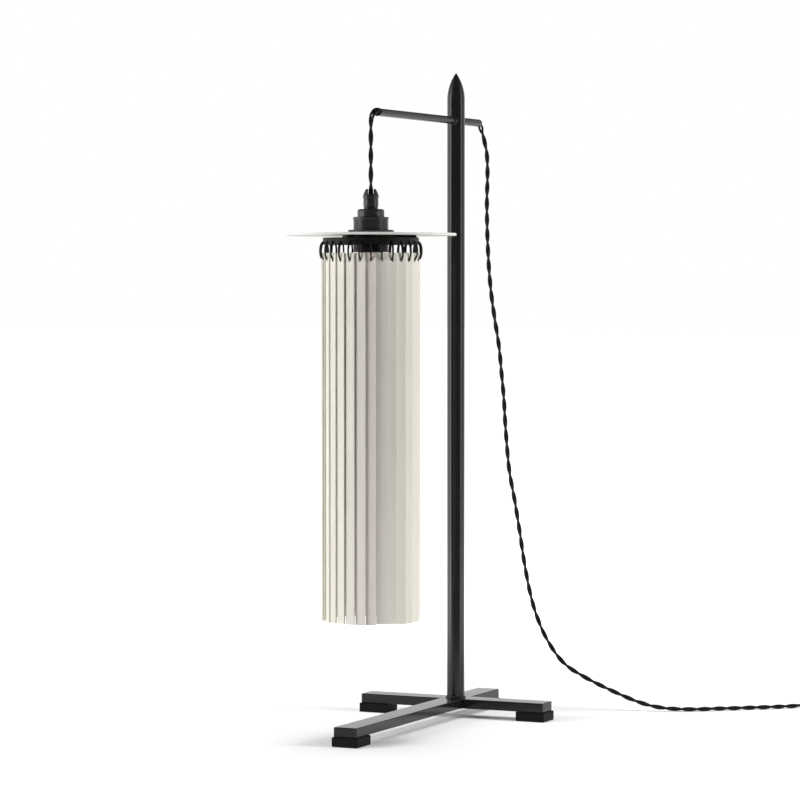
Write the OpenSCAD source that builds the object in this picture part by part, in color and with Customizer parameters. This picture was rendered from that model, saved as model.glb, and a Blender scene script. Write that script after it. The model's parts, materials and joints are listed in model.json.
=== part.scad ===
// Table lamp: a black post on a cross foot carries a thin arm, and a shade of
// long pale slats hangs from the arm on a twisted flex.
// Millimetres, +Z up, the floor at Z = 0. -Y is the front, where the shade hangs.

/* [Post] */
// Outer diameter of the post tube
pole_d = 20; // [17:0.5:22]
// Wall of the post tube
pole_wall = 1.6; // [1:0.1:2.5]
// Height of the top of the tube above the floor
pole_top = 701; // [640:1:740]
// Length of the pointed tip above the tube
tip_h = 31; // [24:0.5:40]
// Depth of the tip's spigot inside the tube
tip_spigot = 8; // [4:0.5:12]
// Length of the threaded plug in the foot of the tube
foot_plug_h = 26; // [20:1:40]
// How far the weld beads stand out from what they join
weld_w = 2.6; // [1.5:0.1:3.4]

/* [Base] */
// Width of the flat bars of the cross foot
bar_w = 27; // [25:0.5:32]
// Thickness of the flat bars
bar_h = 10.6; // [9:0.2:14]
// Reach of the front leg from the post's axis
leg_front = 289; // [260:1:310]
// Reach of the back leg from the post's axis
leg_back = 93.5; // [80:0.5:120]
// Reach of each side leg from the post's axis
leg_side = 113; // [100:1:140]
// Length of a foot pad along its leg
pad_l = 34.6; // [28:0.2:40]
// Width of a foot pad across its leg
pad_w = 30.4; // [28:0.2:36]
// Height of a foot pad
pad_h = 10.5; // [9.5:0.1:14]
// How far a foot pad stands past the end of its bar
pad_over = 2; // [0:0.2:5]
// Diameter of the bolt that holds the post to the cross foot
bolt_d = 8; // [6:1:10]
// How far the bolt reaches into the plug
bolt_grip = 20; // [12:1:22]
// Diameter of the bolt's low flat head
bolt_head_d = 18; // [15:0.5:20]
// Height of the bolt head
bolt_head_h = 2; // [1.6:0.2:3]
// Diameter of the screws that hold the pads
pad_screw_d = 3.5; // [3:0.1:4]
// Diameter of the pad screws' heads
pad_screw_head_d = 6.8; // [6:0.2:8]
// Height of the pad screws' heads
pad_screw_head_h = 2.4; // [1.6:0.1:3]
// Length of thread that each pad screw has in its bar
pad_screw_grip = 7; // [5:0.5:8]

/* [Arm] */
// Outer diameter of the arm tube
arm_d = 8.5; // [8.1:0.1:10]
// Wall of the arm tube
arm_wall = 0.9; // [0.7:0.1:1]
// Distance of the arm's axis below the top of the post tube
arm_drop = 23; // [18:0.5:30]
// Reach of the arm tube to the front of the post's axis
arm_front = 202; // [180:1:220]
// Reach of the arm tube to the back of the post's axis
arm_rear = 64.6; // [60:0.1:80]
// Thickness of the bush's rim at the arm's front end
bush_rim = 0.9; // [0.6:0.1:1.5]
// Length of the bush inside the arm
bush_l = 6; // [4:0.5:10]

/* [Flex] */
// Overall diameter of the twisted flex
flex_d = 5.3; // [4.8:0.1:5.4]
// Room round the flex in a hole that it lies still in
flex_room = 0.3; // [0.2:0.05:0.35]
// Reach of the flex past the arm's front end, where it hangs plumb
bend_out = 22.5; // [18:0.5:30]
// Rise of the flex over the arm's axis as it turns down
bend_rise = 4.4; // [2:0.1:6]
// Distance of the first flexing point below the arm's axis
pivot_drop = 10.5; // [9:0.5:20]
// Distance between the two flexing points
link_len = 10; // [8:0.5:14]
// Gap in the flex at each flexing point
flex_gap = 0.6; // [0.5:0.05:0.8]
// Length of hanging flex from the first flexing point to the cord grip
hang_len = 72.7; // [60:0.5:100]

/* [Lampholder] */
// Height of the cord grip
grip_h = 19.8; // [16:0.2:26]
// Widest diameter of the cord grip
grip_d = 17.4; // [15:0.2:20]
// Height of the collar under the cord grip
collar_h = 1.8; // [1.2:0.1:3]
// Diameter of the holder's cap
cap_d = 28.9; // [26:0.2:32]
// Height of the holder's cap
cap_h = 8.5; // [7:0.1:12]
// Wall of the holder's cap
cap_wall = 2; // [1.4:0.1:2.4]
// Diameter of the threaded body
holder_d = 37.8; // [36:0.2:39]
// Height of the threaded body
holder_h = 37.7; // [34:0.1:44]
// Height of the rim at the top of the body
holder_rim_h = 2.7; // [2:0.1:4]
// How far the rim stands out past the body
holder_rim_out = 0.4; // [0.2:0.1:0.5]
// Diameter of the bore in the body
holder_bore = 30.4; // [29.6:0.2:31.4]
// Thickness of the body's top
holder_top_t = 6.7; // [5:0.1:7]
// Thickness of the insulating core under the body's top
core_h = 7.9; // [6:0.1:8.5]
// Distance of the upper clamp ring's top below the top of the body
flange_drop = 13.8; // [12:0.1:15]
// Diameter of the upper clamp ring
flange_d = 49; // [45:0.5:53]
// Height of the upper clamp ring
flange_h = 4; // [3:0.1:5]
// Diameter of the lower clamp ring
lower_ring_d = 45; // [43:0.5:48]
// Height of the lower clamp ring
lower_ring_h = 4; // [3:0.1:5]

/* [Shade] */
// Diameter of the pale disc over the shade
disc_d = 184; // [150:1:200]
// Thickness of the disc
disc_t = 1.6; // [1.2:0.1:3]
// Thickness of the carrier's hub and arms
hub_t = 2.6; // [2:0.1:4]
// Diameter of the carrier's hub
hub_d = 57; // [50:1:64]
// Width of the carrier's arms
spoke_w = 8; // [6:0.5:10]
// Number of the carrier's arms
spoke_count = 3; // [3:1:4]
// Outer diameter of the slat ring's band
band_d = 103.5; // [98:0.5:108]
// Thickness of the band
band_t = 1.5; // [1.2:0.1:2]
// Height of the band
band_h = 7.5; // [7:0.1:9]
// Gap between the disc and the band
band_gap = 2.8; // [1.5:0.1:5]
// Number of slats and hooks
slat_count = 28; // [20:1:28]
// Width of a slat
slat_w = 10.8; // [9:0.1:10.8]
// Thickness of a slat
slat_t = 2; // [1.6:0.1:2.2]
// Length of a slat
slat_len = 396; // [300:1:400]
// Height of slat above its hole
slat_ear = 6; // [5:0.5:7]
// Radius of the hole in a slat
slat_hole_r = 1.9; // [1.7:0.1:2.1]
// Wire diameter of a hook
wire_d = 1.5; // [1.3:0.05:1.7]
// Overall height of a hook
hook_h = 20.6; // [19.5:0.1:24]
// Overall width of a hook
hook_w = 9.3; // [8.5:0.1:10]
// Height of the hooks' top above the foot of the band
hook_rise = 3.6; // [3.2:0.1:4]

/* [Bulb] */
// Diameter of the bulb's glass
bulb_d = 60; // [45:1:70]
// Length of the bulb, cap included
bulb_len = 105; // [95:1:120]
// Wall of the bulb's glass
glass_t = 1; // [0.7:0.1:1.5]
// Diameter of the bulb's screw cap
bulb_cap_d = 26.2; // [26:0.1:26.4]
// Height of the bulb's screw cap
bulb_cap_h = 24; // [22:0.5:27]

/* [Lead] */
// Radius at which the lead turns down over the arm's back end
rear_bend_r = 10.6; // [10:0.2:14]
// Distance of that turn's start inside the arm's back end
rear_bend_in = 3.2; // [2:0.1:3.2]
// Radius of the coil's outermost turn
coil_r = 34.6; // [33:0.2:38]
// Turns in each of the coil's two layers
coil_turns = 2; // [1:1:3]
// Free gap between neighbouring turns
coil_gap = 0.5; // [0.45:0.05:1]
// Thickness of the tie round the coil
tie_t = 0.8; // [0.6:0.1:1]
// Width of the tie along the flex
tie_w = 6; // [4:0.5:7]
// Length of the plug's body
plug_l = 36; // [30:1:42]
// Width of the plug's body
plug_w = 35; // [32:0.5:38]
// Thickness of the plug's body
plug_t = 14; // [12:0.5:16]
// Length of the plug's tapered strain relief
relief_l = 22; // [20:1:30]
// Length of the plug's pins
pin_l = 19; // [17:0.5:20]
// Diameter of the plug's pins
pin_d = 4; // [3.8:0.1:4.8]
// Distance between the plug's pins
pin_pitch = 19; // [17:0.5:19]

/* [Hidden] */
$fn = 48;
fine = 160;
// Radial clearance of pieces that screw or press together
fit = 0.05;
// Clearance that keeps one loose piece off another
ease = 0.3;
// How far a cutting shape runs past what it cuts
over = 1;

base_top = pad_h + bar_h;
lap_z = pad_h + bar_h / 2;
front_reach = arm_front + bend_out + disc_d / 2;
back_reach = leg_back + pad_over;
pole_y = (max(front_reach, leg_front + pad_over) - back_reach) / 2;
pole_bore = pole_d - 2 * pole_wall;
arm_z = pole_top - arm_drop;
arm_bore = arm_d - 2 * arm_wall;
rear_join_y = arm_rear - rear_bend_in;
weld_sink = pole_d / 2 - 3;

shade_y = pole_y - arm_front - bend_out;
pivot_z = arm_z - pivot_drop;
link_z = pivot_z - link_len;
grip_top = pivot_z - hang_len;
grip_foot = grip_top - grip_h;
cap_top = grip_foot - collar_h;
holder_top = cap_top - cap_h;
holder_foot = holder_top - holder_h;
flange_top = holder_top - flange_drop;
disc_top = flange_top - flange_h;
hub_top = disc_top - disc_t;
lower_ring_top = hub_top - hub_t;
core_top = holder_top - holder_top_t;
core_foot = core_top - core_h;
band_top = hub_top - band_gap;
band_foot = band_top - band_h;
ring_r = band_d / 2 - band_t / 2;
wire_r = wire_d / 2;
hook_bend = hook_w / 2 - wire_r;
hook_top = band_foot + hook_rise - wire_r;
hook_low = band_foot + hook_rise - hook_h + wire_r;
// The wire climbs this far from its lowest point to a slat's face
wire_climb = hook_bend - sqrt(pow(hook_bend, 2) - pow(slat_t / 2, 2));
slat_hole_z = hook_low + wire_r + wire_climb + ease - slat_hole_r;
slat_top = slat_hole_z + slat_hole_r + slat_ear;
band_hole_r = wire_r + ease + 0.15;

shell_r = bulb_cap_d / 2 + 0.4;
shell_t = 0.5;
contact_h = 2;
bulb_cap_top = core_foot - contact_h;
bulb_neck_z = bulb_cap_top - bulb_cap_h;
bulb_r = bulb_d / 2;
bulb_ball_z = bulb_cap_top - bulb_len + bulb_r;
neck_r = bulb_cap_d / 2 - 0.8;
// How far the glass neck reaches up inside the screw cap
neck_in = bulb_cap_h / 2;

flex_r = flex_d / 2;
lead_z = flex_r + 0.05;
tie_room = 0.2;
coil_z = tie_t + tie_room / 2 + flex_r;
coil_step = flex_d + coil_gap;
coil_layer = flex_d + 0.45;
coil_x = 380;
coil_y = pole_y + 262;
turns_in = coil_turns + 0.25;
turns_all = 2 * coil_turns + 0.5;
loop_rings = 24;
coil_fall = 14;
plug_z = plug_t / 2;
plug_y = coil_y - 2 * flex_d - coil_fall;
tie_at = 0.75;

// The free lead's route from the arm to the coil, taken from the post's axis:
// it leaves the arm's open back end, drops beside the post, sweeps out and lies
// on the floor.
LEAD_ROUTE = [
    [1.7, 72.2, arm_z - 13], [3.1, 72.2, arm_z - 18], [5, 72.1, arm_z - 26],
    [6.6, 72, arm_z - 33], [7.6, 72, 630], [7.8, 71.6, 612], [7.5, 71, 595], [7.5, 71, 570],
    [8.4, 71, 540], [9.7, 72, 510], [12.3, 73, 480], [16.5, 74, 450], [20.7, 76, 420],
    [23.4, 77, 390], [26, 78, 360], [27.5, 78, 335], [29.5, 79, 305], [32.4, 80, 275],
    [38.5, 82, 240], [43.9, 84, 204], [48.6, 86, 170], [55.1, 88, 135], [62.3, 91, 108],
    [73.6, 95, 81], [91.1, 101, 55], [114.5, 110, 38], [145.3, 121, 22], [176, 129, 9.5],
    [201, 134.5, 4.2], [229, 145.5, lead_z], [258, 166, lead_z], [284, 186, lead_z],
    [309, 206, lead_z], [330, 226, lead_z], [341, 239, coil_z]
];

lead_end = [coil_x - coil_r, coil_y - pole_y - flex_d, coil_z];
lead_points = concat(
    [for (s = [2, 1]) [0, rear_join_y - s * over, arm_z]],
    [for (a = [0 : 15 : 75])
        [0, rear_join_y + rear_bend_r * sin(a), arm_z - rear_bend_r * (1 - cos(a))]],
    LEAD_ROUTE,
    [for (s = [1.5, 0.75, 0]) lead_end - [0, s * flex_d, 0]]
);

// The free gap between the coil's turns, measured on points of its route
coil_line = coil_route();
coil_least = min([
    for (i = [0 : len(coil_line) - 1], j = [i + loop_rings / 2 : 1 : len(coil_line) - 1])
        norm(coil_line[i] - coil_line[j])
]) - flex_d;
echo(coil_least_gap_mm = coil_least);

SLAT_NODES = [for (i = [1 : slat_count]) slat_name(i)];

// Helper functions

function slat_name(i) = str("slat_", i < 10 ? "0" : "", i);

function unit(v) = v / norm(v);

// Point of a smooth curve through p1 and p2, t of the way from p1 to p2
function between(p0, p1, p2, p3, t) =
    0.5 * (2 * p1 + (p2 - p0) * t + (2 * p0 - 5 * p1 + 4 * p2 - p3) * t * t
        + (3 * p1 - p0 - 3 * p2 + p3) * t * t * t);

// The same route with steps points for each stretch
function smooth(p, steps) = concat([
    for (i = [0 : len(p) - 2], s = [0 : steps - 1])
        between(p[max(i - 1, 0)], p[i], p[i + 1], p[min(i + 2, len(p) - 1)], s / steps)
], [p[len(p) - 1]]);

function heading(p, i) = unit(p[min(i + 1, len(p) - 1)] - p[max(i - 1, 0)]);

// Corners of a tube's rings along a route; side points away from every stretch
function tube_rings(p, r, n, side) = [
    for (i = [0 : len(p) - 1])
        let (t = heading(p, i), u = unit(cross(side, t)), v = cross(t, u))
            for (k = [0 : n - 1]) p[i] + r * (cos(360 * k / n) * u + sin(360 * k / n) * v)
];

function tube_faces(count, n) = concat(
    [for (k = [1 : n - 2]) [0, k, k + 1]],
    [for (i = [0 : count - 2], k = [0 : n - 1])
        [i * n + k, (i + 1) * n + (k + 1) % n, i * n + (k + 1) % n]],
    [for (i = [0 : count - 2], k = [0 : n - 1])
        [i * n + k, (i + 1) * n + k, (i + 1) * n + (k + 1) % n]],
    [for (k = [1 : n - 2]) [(count - 1) * n, (count - 1) * n + k + 1, (count - 1) * n + k]]
);

// The coil spirals in on the floor, climbs a layer as it reverses, and spirals out
function coil_radius(a) =
    a <= turns_in ? coil_r - coil_step * a : coil_r - coil_step * (2 * turns_in - a);

function ease_in_out(x) = x * x * (3 - 2 * x);

function coil_height(a) =
    coil_z + coil_layer * ease_in_out(min(max((a - coil_turns) * 2, 0), 1));

function coil_point(a) = [
    coil_x - coil_radius(a) * cos(360 * a),
    coil_y + coil_radius(a) * sin(360 * a),
    coil_height(a)
];

function coil_route() = concat(
    [[coil_x - coil_r, coil_y - flex_d, coil_z]],
    [for (i = [0 : turns_all * loop_rings]) coil_point(i / loop_rings)],
    [
        [coil_x + coil_r, coil_y - flex_d, coil_z + coil_layer],
        [coil_x + coil_r, coil_y - flex_d - coil_fall, plug_z],
        [coil_x + coil_r, coil_y - 2 * flex_d - coil_fall, plug_z]
    ]
);

// The flex's turn over the arm's end, as a curve with four handles
function turn_over(t) =
    let (a = [0, -bush_rim - 2, 0], b = [0, -bend_out / 2, bend_rise],
        c = [0, -bend_out, bend_rise + 0.6], d = [0, -bend_out, -pivot_drop + flex_gap / 2])
        pow(1 - t, 3) * a + 3 * pow(1 - t, 2) * t * b + 3 * (1 - t) * t * t * c + pow(t, 3) * d;

// Half outline of the bulb, from its foot up to its neck, drawn inset by wall
function bulb_outline(wall) = concat(
    [[0, wall - bulb_r]],
    [for (a = [-80 : 10 : 40]) (bulb_r - wall) * [cos(a), sin(a)]],
    [
        [neck_r + 4 - wall, bulb_neck_z - bulb_ball_z - 12],
        [neck_r + 1 - wall, bulb_neck_z - bulb_ball_z - 5],
        [neck_r - wall, bulb_neck_z - bulb_ball_z],
        [neck_r - wall, bulb_neck_z - bulb_ball_z + neck_in - wall],
        [0, bulb_neck_z - bulb_ball_z + neck_in - wall]
    ]
);

// Helper modules

module at_pole() {
    translate([0, pole_y, 0]) children();
}

module at_shade() {
    translate([0, shade_y, 0]) children();
}

module along_arm(from_y) {
    translate([0, from_y, arm_z]) rotate([-90, 0, 0]) children();
}

module ring(outer_r, inner_r, h) {
    difference() {
        cylinder(r = outer_r, h = h);
        translate([0, 0, -over]) cylinder(r = inner_r, h = h + 2 * over);
    }
}

module tube_along(p, r, sides, side) {
    polyhedron(points = tube_rings(p, r, sides, side), faces = tube_faces(len(p), sides));
}

// The four pad centres, each with its leg turned onto +Y
module at_each_pad() {
    reach = pad_over - pad_l / 2;
    translate([0, -leg_front - reach, 0]) children();
    translate([0, leg_back + reach, 0]) children();
    for (s = [-1, 1]) translate([s * (leg_side + reach), 0, 0]) rotate([0, 0, 90]) children();
}

module at_each_slat() {
    for (i = [1 : slat_count]) turned_to_slat(i) children();
}

// Turns +X onto the outward direction of slat i; slat 1 is at the front
module turned_to_slat(i) {
    rotate([0, 0, -90 + (i - 1) * 360 / slat_count]) children();
}

module pad_screw_holes() {
    at_each_pad() translate([0, 0, pad_h - over])
        cylinder(d = pad_screw_d + 2 * fit, h = over + pad_screw_grip + ease);
}

module bolt_hole() {
    translate([0, 0, pad_h - over]) cylinder(d = bolt_d + 0.4, h = bar_h + 2 * over);
}

// Stand

module pole_tube() {
    color([0.06, 0.06, 0.06]) at_pole() difference() {
        translate([0, 0, base_top]) cylinder(d = pole_d, h = pole_top - base_top, $fn = 96);
        translate([0, 0, base_top - over])
            cylinder(d = pole_bore, h = pole_top - base_top + 2 * over, $fn = 96);
        along_arm(-pole_d) cylinder(d = arm_d + 2 * fit, h = 2 * pole_d);
    }
}

module pole_tip() {
    arch_r = (pow(pole_d / 2, 2) + pow(tip_h, 2)) / pole_d;
    steps = 16;
    blunt = 0.6;
    outline = [
        for (i = [0 : steps])
            let (z = (tip_h - blunt / 2) * i / steps)
                [pole_d / 2 - arch_r + sqrt(pow(arch_r, 2) - pow(z, 2)), z]
    ];
    color([0.06, 0.06, 0.06]) at_pole() {
        translate([0, 0, pole_top]) rotate_extrude($fn = 96)
            polygon(concat([[0, 0]], outline, [[0, tip_h]]));
        translate([0, 0, pole_top - tip_spigot])
            cylinder(d = pole_bore - 2 * fit, h = tip_spigot + 0.5);
    }
}

module pole_foot_plug() {
    color([0.6, 0.6, 0.62]) at_pole() translate([0, 0, base_top])
        ring(pole_bore / 2 - fit, bolt_d / 2 + fit, foot_plug_h);
}

module weld_beads() {
    color([0.06, 0.06, 0.06]) at_pole() {
        translate([0, 0, base_top]) difference() {
            cylinder(r1 = pole_d / 2 + weld_w, r2 = pole_d / 2 + 0.4, h = weld_w);
            translate([0, 0, -over]) cylinder(r = pole_d / 2 + fit, h = weld_w + 2 * over);
        }
        for (s = [0, 1]) rotate([0, 0, 180 * s]) difference() {
            along_arm(weld_sink)
                cylinder(r1 = arm_d / 2 + 1.6, r2 = arm_d / 2 + 0.3, h = 3 + weld_w);
            along_arm(0) cylinder(r = arm_d / 2 + fit, h = pole_d);
            cylinder(r = pole_d / 2 + fit, h = 2 * pole_top, $fn = 96);
        }
    }
}

module arm_tube() {
    color([0.06, 0.06, 0.06]) at_pole() difference() {
        along_arm(-arm_front) cylinder(d = arm_d, h = arm_front + arm_rear);
        along_arm(-arm_front - over) cylinder(d = arm_bore, h = arm_front + arm_rear + 2 * over);
    }
}

module arm_front_bush() {
    color([0.08, 0.08, 0.08]) at_pole() difference() {
        union() {
            along_arm(-arm_front - bush_rim) cylinder(d = arm_d - 0.4, h = bush_rim);
            along_arm(-arm_front - bush_rim) cylinder(d = arm_bore - 2 * fit, h = bush_rim + bush_l);
        }
        along_arm(-arm_front - bush_rim - over)
            cylinder(d = flex_d + flex_room, h = bush_l + bush_rim + 2 * over);
    }
}

module base_long_bar() {
    color([0.07, 0.07, 0.07]) at_pole() difference() {
        translate([-bar_w / 2, -leg_front, pad_h]) cube([bar_w, leg_front + leg_back, bar_h]);
        translate([-bar_w, -bar_w / 2 - fit, lap_z]) cube([2 * bar_w, bar_w + 2 * fit, bar_h]);
        bolt_hole();
        pad_screw_holes();
    }
}

module base_cross_bar() {
    color([0.07, 0.07, 0.07]) at_pole() difference() {
        translate([-leg_side, -bar_w / 2, pad_h]) cube([2 * leg_side, bar_w, bar_h]);
        translate([-bar_w / 2 - fit, -bar_w, lap_z - bar_h]) cube([bar_w + 2 * fit, 2 * bar_w, bar_h]);
        bolt_hole();
        pad_screw_holes();
    }
}

module foot_pads() {
    color([0.04, 0.04, 0.04]) at_pole() at_each_pad() difference() {
        translate([-pad_w / 2, -pad_l / 2, 0]) cube([pad_w, pad_l, pad_h]);
        translate([0, 0, -over])
            cylinder(d = pad_screw_head_d + 0.6, h = over + pad_screw_head_h + over);
        cylinder(d = pad_screw_d + 2 * fit, h = pad_h + over);
    }
}

module pad_screws() {
    color([0.4, 0.4, 0.42]) at_pole() at_each_pad() {
        translate([0, 0, over]) cylinder(d = pad_screw_head_d, h = pad_screw_head_h);
        translate([0, 0, over]) cylinder(d = pad_screw_d, h = pad_h - over + pad_screw_grip);
    }
}

// Bolt with a low flat head and a six-sided socket
module base_bolt() {
    edge = 0.6;
    socket_d = 5.8;
    socket_h = 4;
    color([0.08, 0.08, 0.08]) at_pole() translate([0, 0, pad_h - bolt_head_h]) difference() {
        union() {
            cylinder(d1 = bolt_head_d - 2 * edge, d2 = bolt_head_d, h = edge);
            translate([0, 0, edge]) cylinder(d = bolt_head_d, h = bolt_head_h - edge);
            cylinder(d = bolt_d, h = bolt_head_h + bar_h + bolt_grip);
        }
        translate([0, 0, -over]) cylinder(d = socket_d, h = over + socket_h, $fn = 6);
    }
}

// Flex that the lamp holds

module arm_flex() {
    line = concat(
        [[0, rear_join_y - 2 * over, 0], [0, -arm_front, 0]],
        [for (s = [0 : 12]) [0, -arm_front, 0] + turn_over(s / 12)]
    );
    color([0.05, 0.05, 0.05]) at_pole() translate([0, 0, arm_z])
        tube_along(line, flex_r, 12, [1, 0, 0]);
}

module flex_link() {
    color([0.05, 0.05, 0.05]) at_shade() translate([0, 0, link_z + flex_gap / 2])
        cylinder(d = flex_d, h = link_len - flex_gap);
}

module pendant_flex() {
    foot = grip_foot + 2;
    color([0.05, 0.05, 0.05]) at_shade() translate([0, 0, foot])
        cylinder(d = flex_d, h = link_z - flex_gap / 2 - foot);
}

// Lampholder

module cord_grip() {
    nipple_r = 4.9;
    color([0.07, 0.07, 0.07]) at_shade() difference() {
        union() {
            translate([0, 0, grip_top - 2]) cylinder(r1 = grip_d / 2 - 3.2, r2 = 4.2, h = 2);
            translate([0, 0, grip_top - 7])
                cylinder(r1 = grip_d / 2 - 0.3, r2 = grip_d / 2 - 3.2, h = 5);
            translate([0, 0, grip_top - 8.6]) cylinder(d = grip_d, h = 1.6);
            translate([0, 0, grip_foot]) cylinder(d = grip_d - 1.4, h = grip_h - 8.6);
            translate([0, 0, cap_top]) cylinder(d = grip_d - 2, h = collar_h);
            translate([0, 0, cap_top - cap_wall - 2.5]) cylinder(r = nipple_r, h = cap_wall + 2.6);
        }
        translate([0, 0, cap_top - cap_wall - 2.5 - over])
            cylinder(d = flex_d + 0.18, h = grip_h + 12 + over);
        translate([0, 0, grip_foot + 5]) rotate([90, 0, 0]) cylinder(d = 3.1, h = grip_d);
    }
}

module grip_screw() {
    color([0.3, 0.3, 0.3]) at_shade() translate([0, -flex_r - ease, grip_foot + 5])
        rotate([90, 0, 0]) cylinder(d = 3, h = grip_d / 2 - 0.7 - flex_r - ease);
}

module holder_cap() {
    color([0.07, 0.07, 0.07]) at_shade() difference() {
        union() {
            translate([0, 0, holder_top]) cylinder(d = cap_d, h = cap_h - 1.2);
            translate([0, 0, cap_top - 1.2]) cylinder(r1 = cap_d / 2, r2 = cap_d / 2 - 1.2, h = 1.2);
        }
        translate([0, 0, holder_top - over])
            cylinder(r = cap_d / 2 - cap_wall, h = over + cap_h - cap_wall);
        cylinder(r = 4.95, h = 2 * holder_top);
    }
}

module holder_body() {
    color([0.07, 0.07, 0.07]) at_shade() difference() {
        union() {
            translate([0, 0, holder_foot]) cylinder(d = holder_d, h = holder_h);
            translate([0, 0, holder_top - holder_rim_h])
                cylinder(r = holder_d / 2 + holder_rim_out, h = holder_rim_h);
        }
        translate([0, 0, holder_foot - over])
            cylinder(d = holder_bore, h = over + holder_h - holder_top_t);
        cylinder(r = 8, h = 2 * holder_top);
    }
}

module holder_core() {
    color([0.85, 0.83, 0.78]) at_shade() translate([0, 0, core_foot]) difference() {
        cylinder(d = holder_bore - 2 * fit, h = core_h);
        for (s = [-1, 1]) translate([6 * s, 0, -over]) cylinder(r = 1.6, h = core_h + 2 * over);
    }
}

// The threaded shell, the centre contact and the two terminals
module holder_contacts() {
    shell_h = core_foot - holder_foot - 2;
    color([0.75, 0.6, 0.3]) at_shade() {
        translate([0, 0, core_foot - shell_h]) ring(shell_r + shell_t, shell_r, shell_h);
        translate([-3, -2, core_foot - 0.5]) cube([6, 4, 0.5]);
        translate([0, 0, core_foot - contact_h + 0.3]) cylinder(r = 2.4, h = contact_h - 0.8);
        for (s = [-1, 1]) translate([6 * s, 0, core_foot + 0.6])
            cylinder(r = 1.6 - fit, h = core_h + 2);
    }
}

module clamp_rings() {
    color([0.07, 0.07, 0.07]) at_shade() {
        translate([0, 0, disc_top]) ring(flange_d / 2, holder_d / 2 + fit, flange_h);
        translate([0, 0, lower_ring_top - lower_ring_h])
            ring(lower_ring_d / 2, holder_d / 2 + fit, lower_ring_h);
    }
}

// Shade

module shade_disc() {
    color([0.93, 0.92, 0.88]) at_shade() translate([0, 0, hub_top])
        ring(disc_d / 2, holder_d / 2 + 2 * fit, disc_t, $fn = fine);
}

// Hub, arms and band, welded into one carrier
module slat_carrier() {
    knee_r = ring_r - band_t / 2 - 5;
    drop = band_gap + band_h / 2;
    color([0.06, 0.06, 0.06]) at_shade() {
        difference() {
            union() {
                translate([0, 0, lower_ring_top]) cylinder(d = hub_d, h = hub_t);
                for (i = [1 : spoke_count]) rotate([0, 0, -90 + i * 360 / spoke_count]) {
                    translate([0, -spoke_w / 2, lower_ring_top])
                        cube([knee_r + hub_t, spoke_w, hub_t]);
                    intersection() {
                        translate([0, spoke_w / 2, hub_top - hub_t]) rotate([90, 0, 0])
                            linear_extrude(spoke_w) polygon([
                                [knee_r, 0], [knee_r + hub_t, hub_t], [ring_r, hub_t - drop + 3],
                                [ring_r, hub_t - drop], [ring_r - 3, hub_t - drop]
                            ]);
                        cylinder(r = ring_r, h = 2 * hub_top);
                    }
                }
            }
            cylinder(r = holder_d / 2 + 2 * fit, h = 2 * hub_top);
        }
        translate([0, 0, band_foot]) difference() {
            ring(ring_r + band_t / 2, ring_r - band_t / 2, band_h, $fn = fine);
            at_each_slat() translate([ring_r - band_t, 0, hook_top - band_foot]) rotate([0, 90, 0])
                cylinder(r = band_hole_r, h = 2 * band_t, $fn = 24);
        }
    }
}

module slat_hooks() {
    color([0.05, 0.05, 0.05]) at_shade() at_each_slat() translate([ring_r, 0, 0]) {
        for (end = [0, 1])
            translate([0, 0, end == 0 ? hook_low + hook_bend : hook_top - hook_bend])
                rotate([90, 0, 0]) rotate([0, 0, 180 * (1 - end)])
                    rotate_extrude(angle = 180, $fn = 40) translate([hook_bend, 0])
                        circle(r = wire_r, $fn = 16);
        for (s = [-1, 1]) translate([s * hook_bend, 0, hook_low + hook_bend])
            cylinder(r = wire_r, h = hook_top - hook_low - 2 * hook_bend, $fn = 16);
    }
}

module slat(i) {
    color([0.93, 0.91, 0.85]) at_shade() turned_to_slat(i) difference() {
        translate([ring_r - slat_t / 2, -slat_w / 2, slat_top - slat_len])
            cube([slat_t, slat_w, slat_len]);
        translate([ring_r - slat_t, 0, slat_hole_z]) rotate([0, 90, 0])
            cylinder(r = slat_hole_r, h = 2 * slat_t, $fn = 24);
    }
}

// Bulb

module bulb_glass() {
    color([0.95, 0.94, 0.9]) at_shade() translate([0, 0, bulb_ball_z]) rotate_extrude()
        difference() {
            polygon(bulb_outline(0));
            polygon(bulb_outline(glass_t));
        }
}

module bulb_cap() {
    color([0.7, 0.7, 0.68]) at_shade() {
        translate([0, 0, bulb_neck_z]) ring(bulb_cap_d / 2, neck_r + fit, bulb_cap_h - 3);
        translate([0, 0, bulb_cap_top - 3]) cylinder(r1 = bulb_cap_d / 2, r2 = 5, h = 3);
    }
}

// Lead, coil and plug

module rear_flex() {
    color([0.05, 0.05, 0.05]) at_pole()
        tube_along(smooth(lead_points, 2), flex_r, 8, [0.5, -0.87, 0]);
}

module cord_coil() {
    color([0.05, 0.05, 0.05]) tube_along(coil_route(), flex_r, 6, [0, 0, 1]);
}

module coil_tie() {
    inner = coil_radius(coil_turns - 0.25) - flex_r - ease;
    outer = coil_radius(tie_at) + flex_r + ease;
    high = coil_layer + flex_d + 2 * tie_room;
    color([0.1, 0.1, 0.1]) translate([coil_x - tie_w / 2, coil_y, 0]) difference() {
        translate([0, -outer - tie_t, 0]) cube([tie_w, outer - inner + 2 * tie_t, high + 2 * tie_t]);
        translate([-over, -outer, tie_t]) cube([tie_w + 2 * over, outer - inner, high]);
    }
}

module plug_body() {
    neck_w = 14;
    shoulder = 12;
    color([0.05, 0.05, 0.05]) translate([coil_x + coil_r, plug_y, 0]) {
        translate([0, 0, plug_z]) rotate([90, 0, 0])
            cylinder(r1 = flex_r + 0.9, r2 = plug_t / 2 - 1.5, h = relief_l);
        translate([0, -relief_l, 0]) linear_extrude(plug_t) polygon([
            [-neck_w / 2, 0], [neck_w / 2, 0], [plug_w / 2, -shoulder], [plug_w / 2, 4 - plug_l],
            [plug_w / 2 - 4, -plug_l], [4 - plug_w / 2, -plug_l], [-plug_w / 2, 4 - plug_l],
            [-plug_w / 2, -shoulder]
        ]);
    }
}

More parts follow.
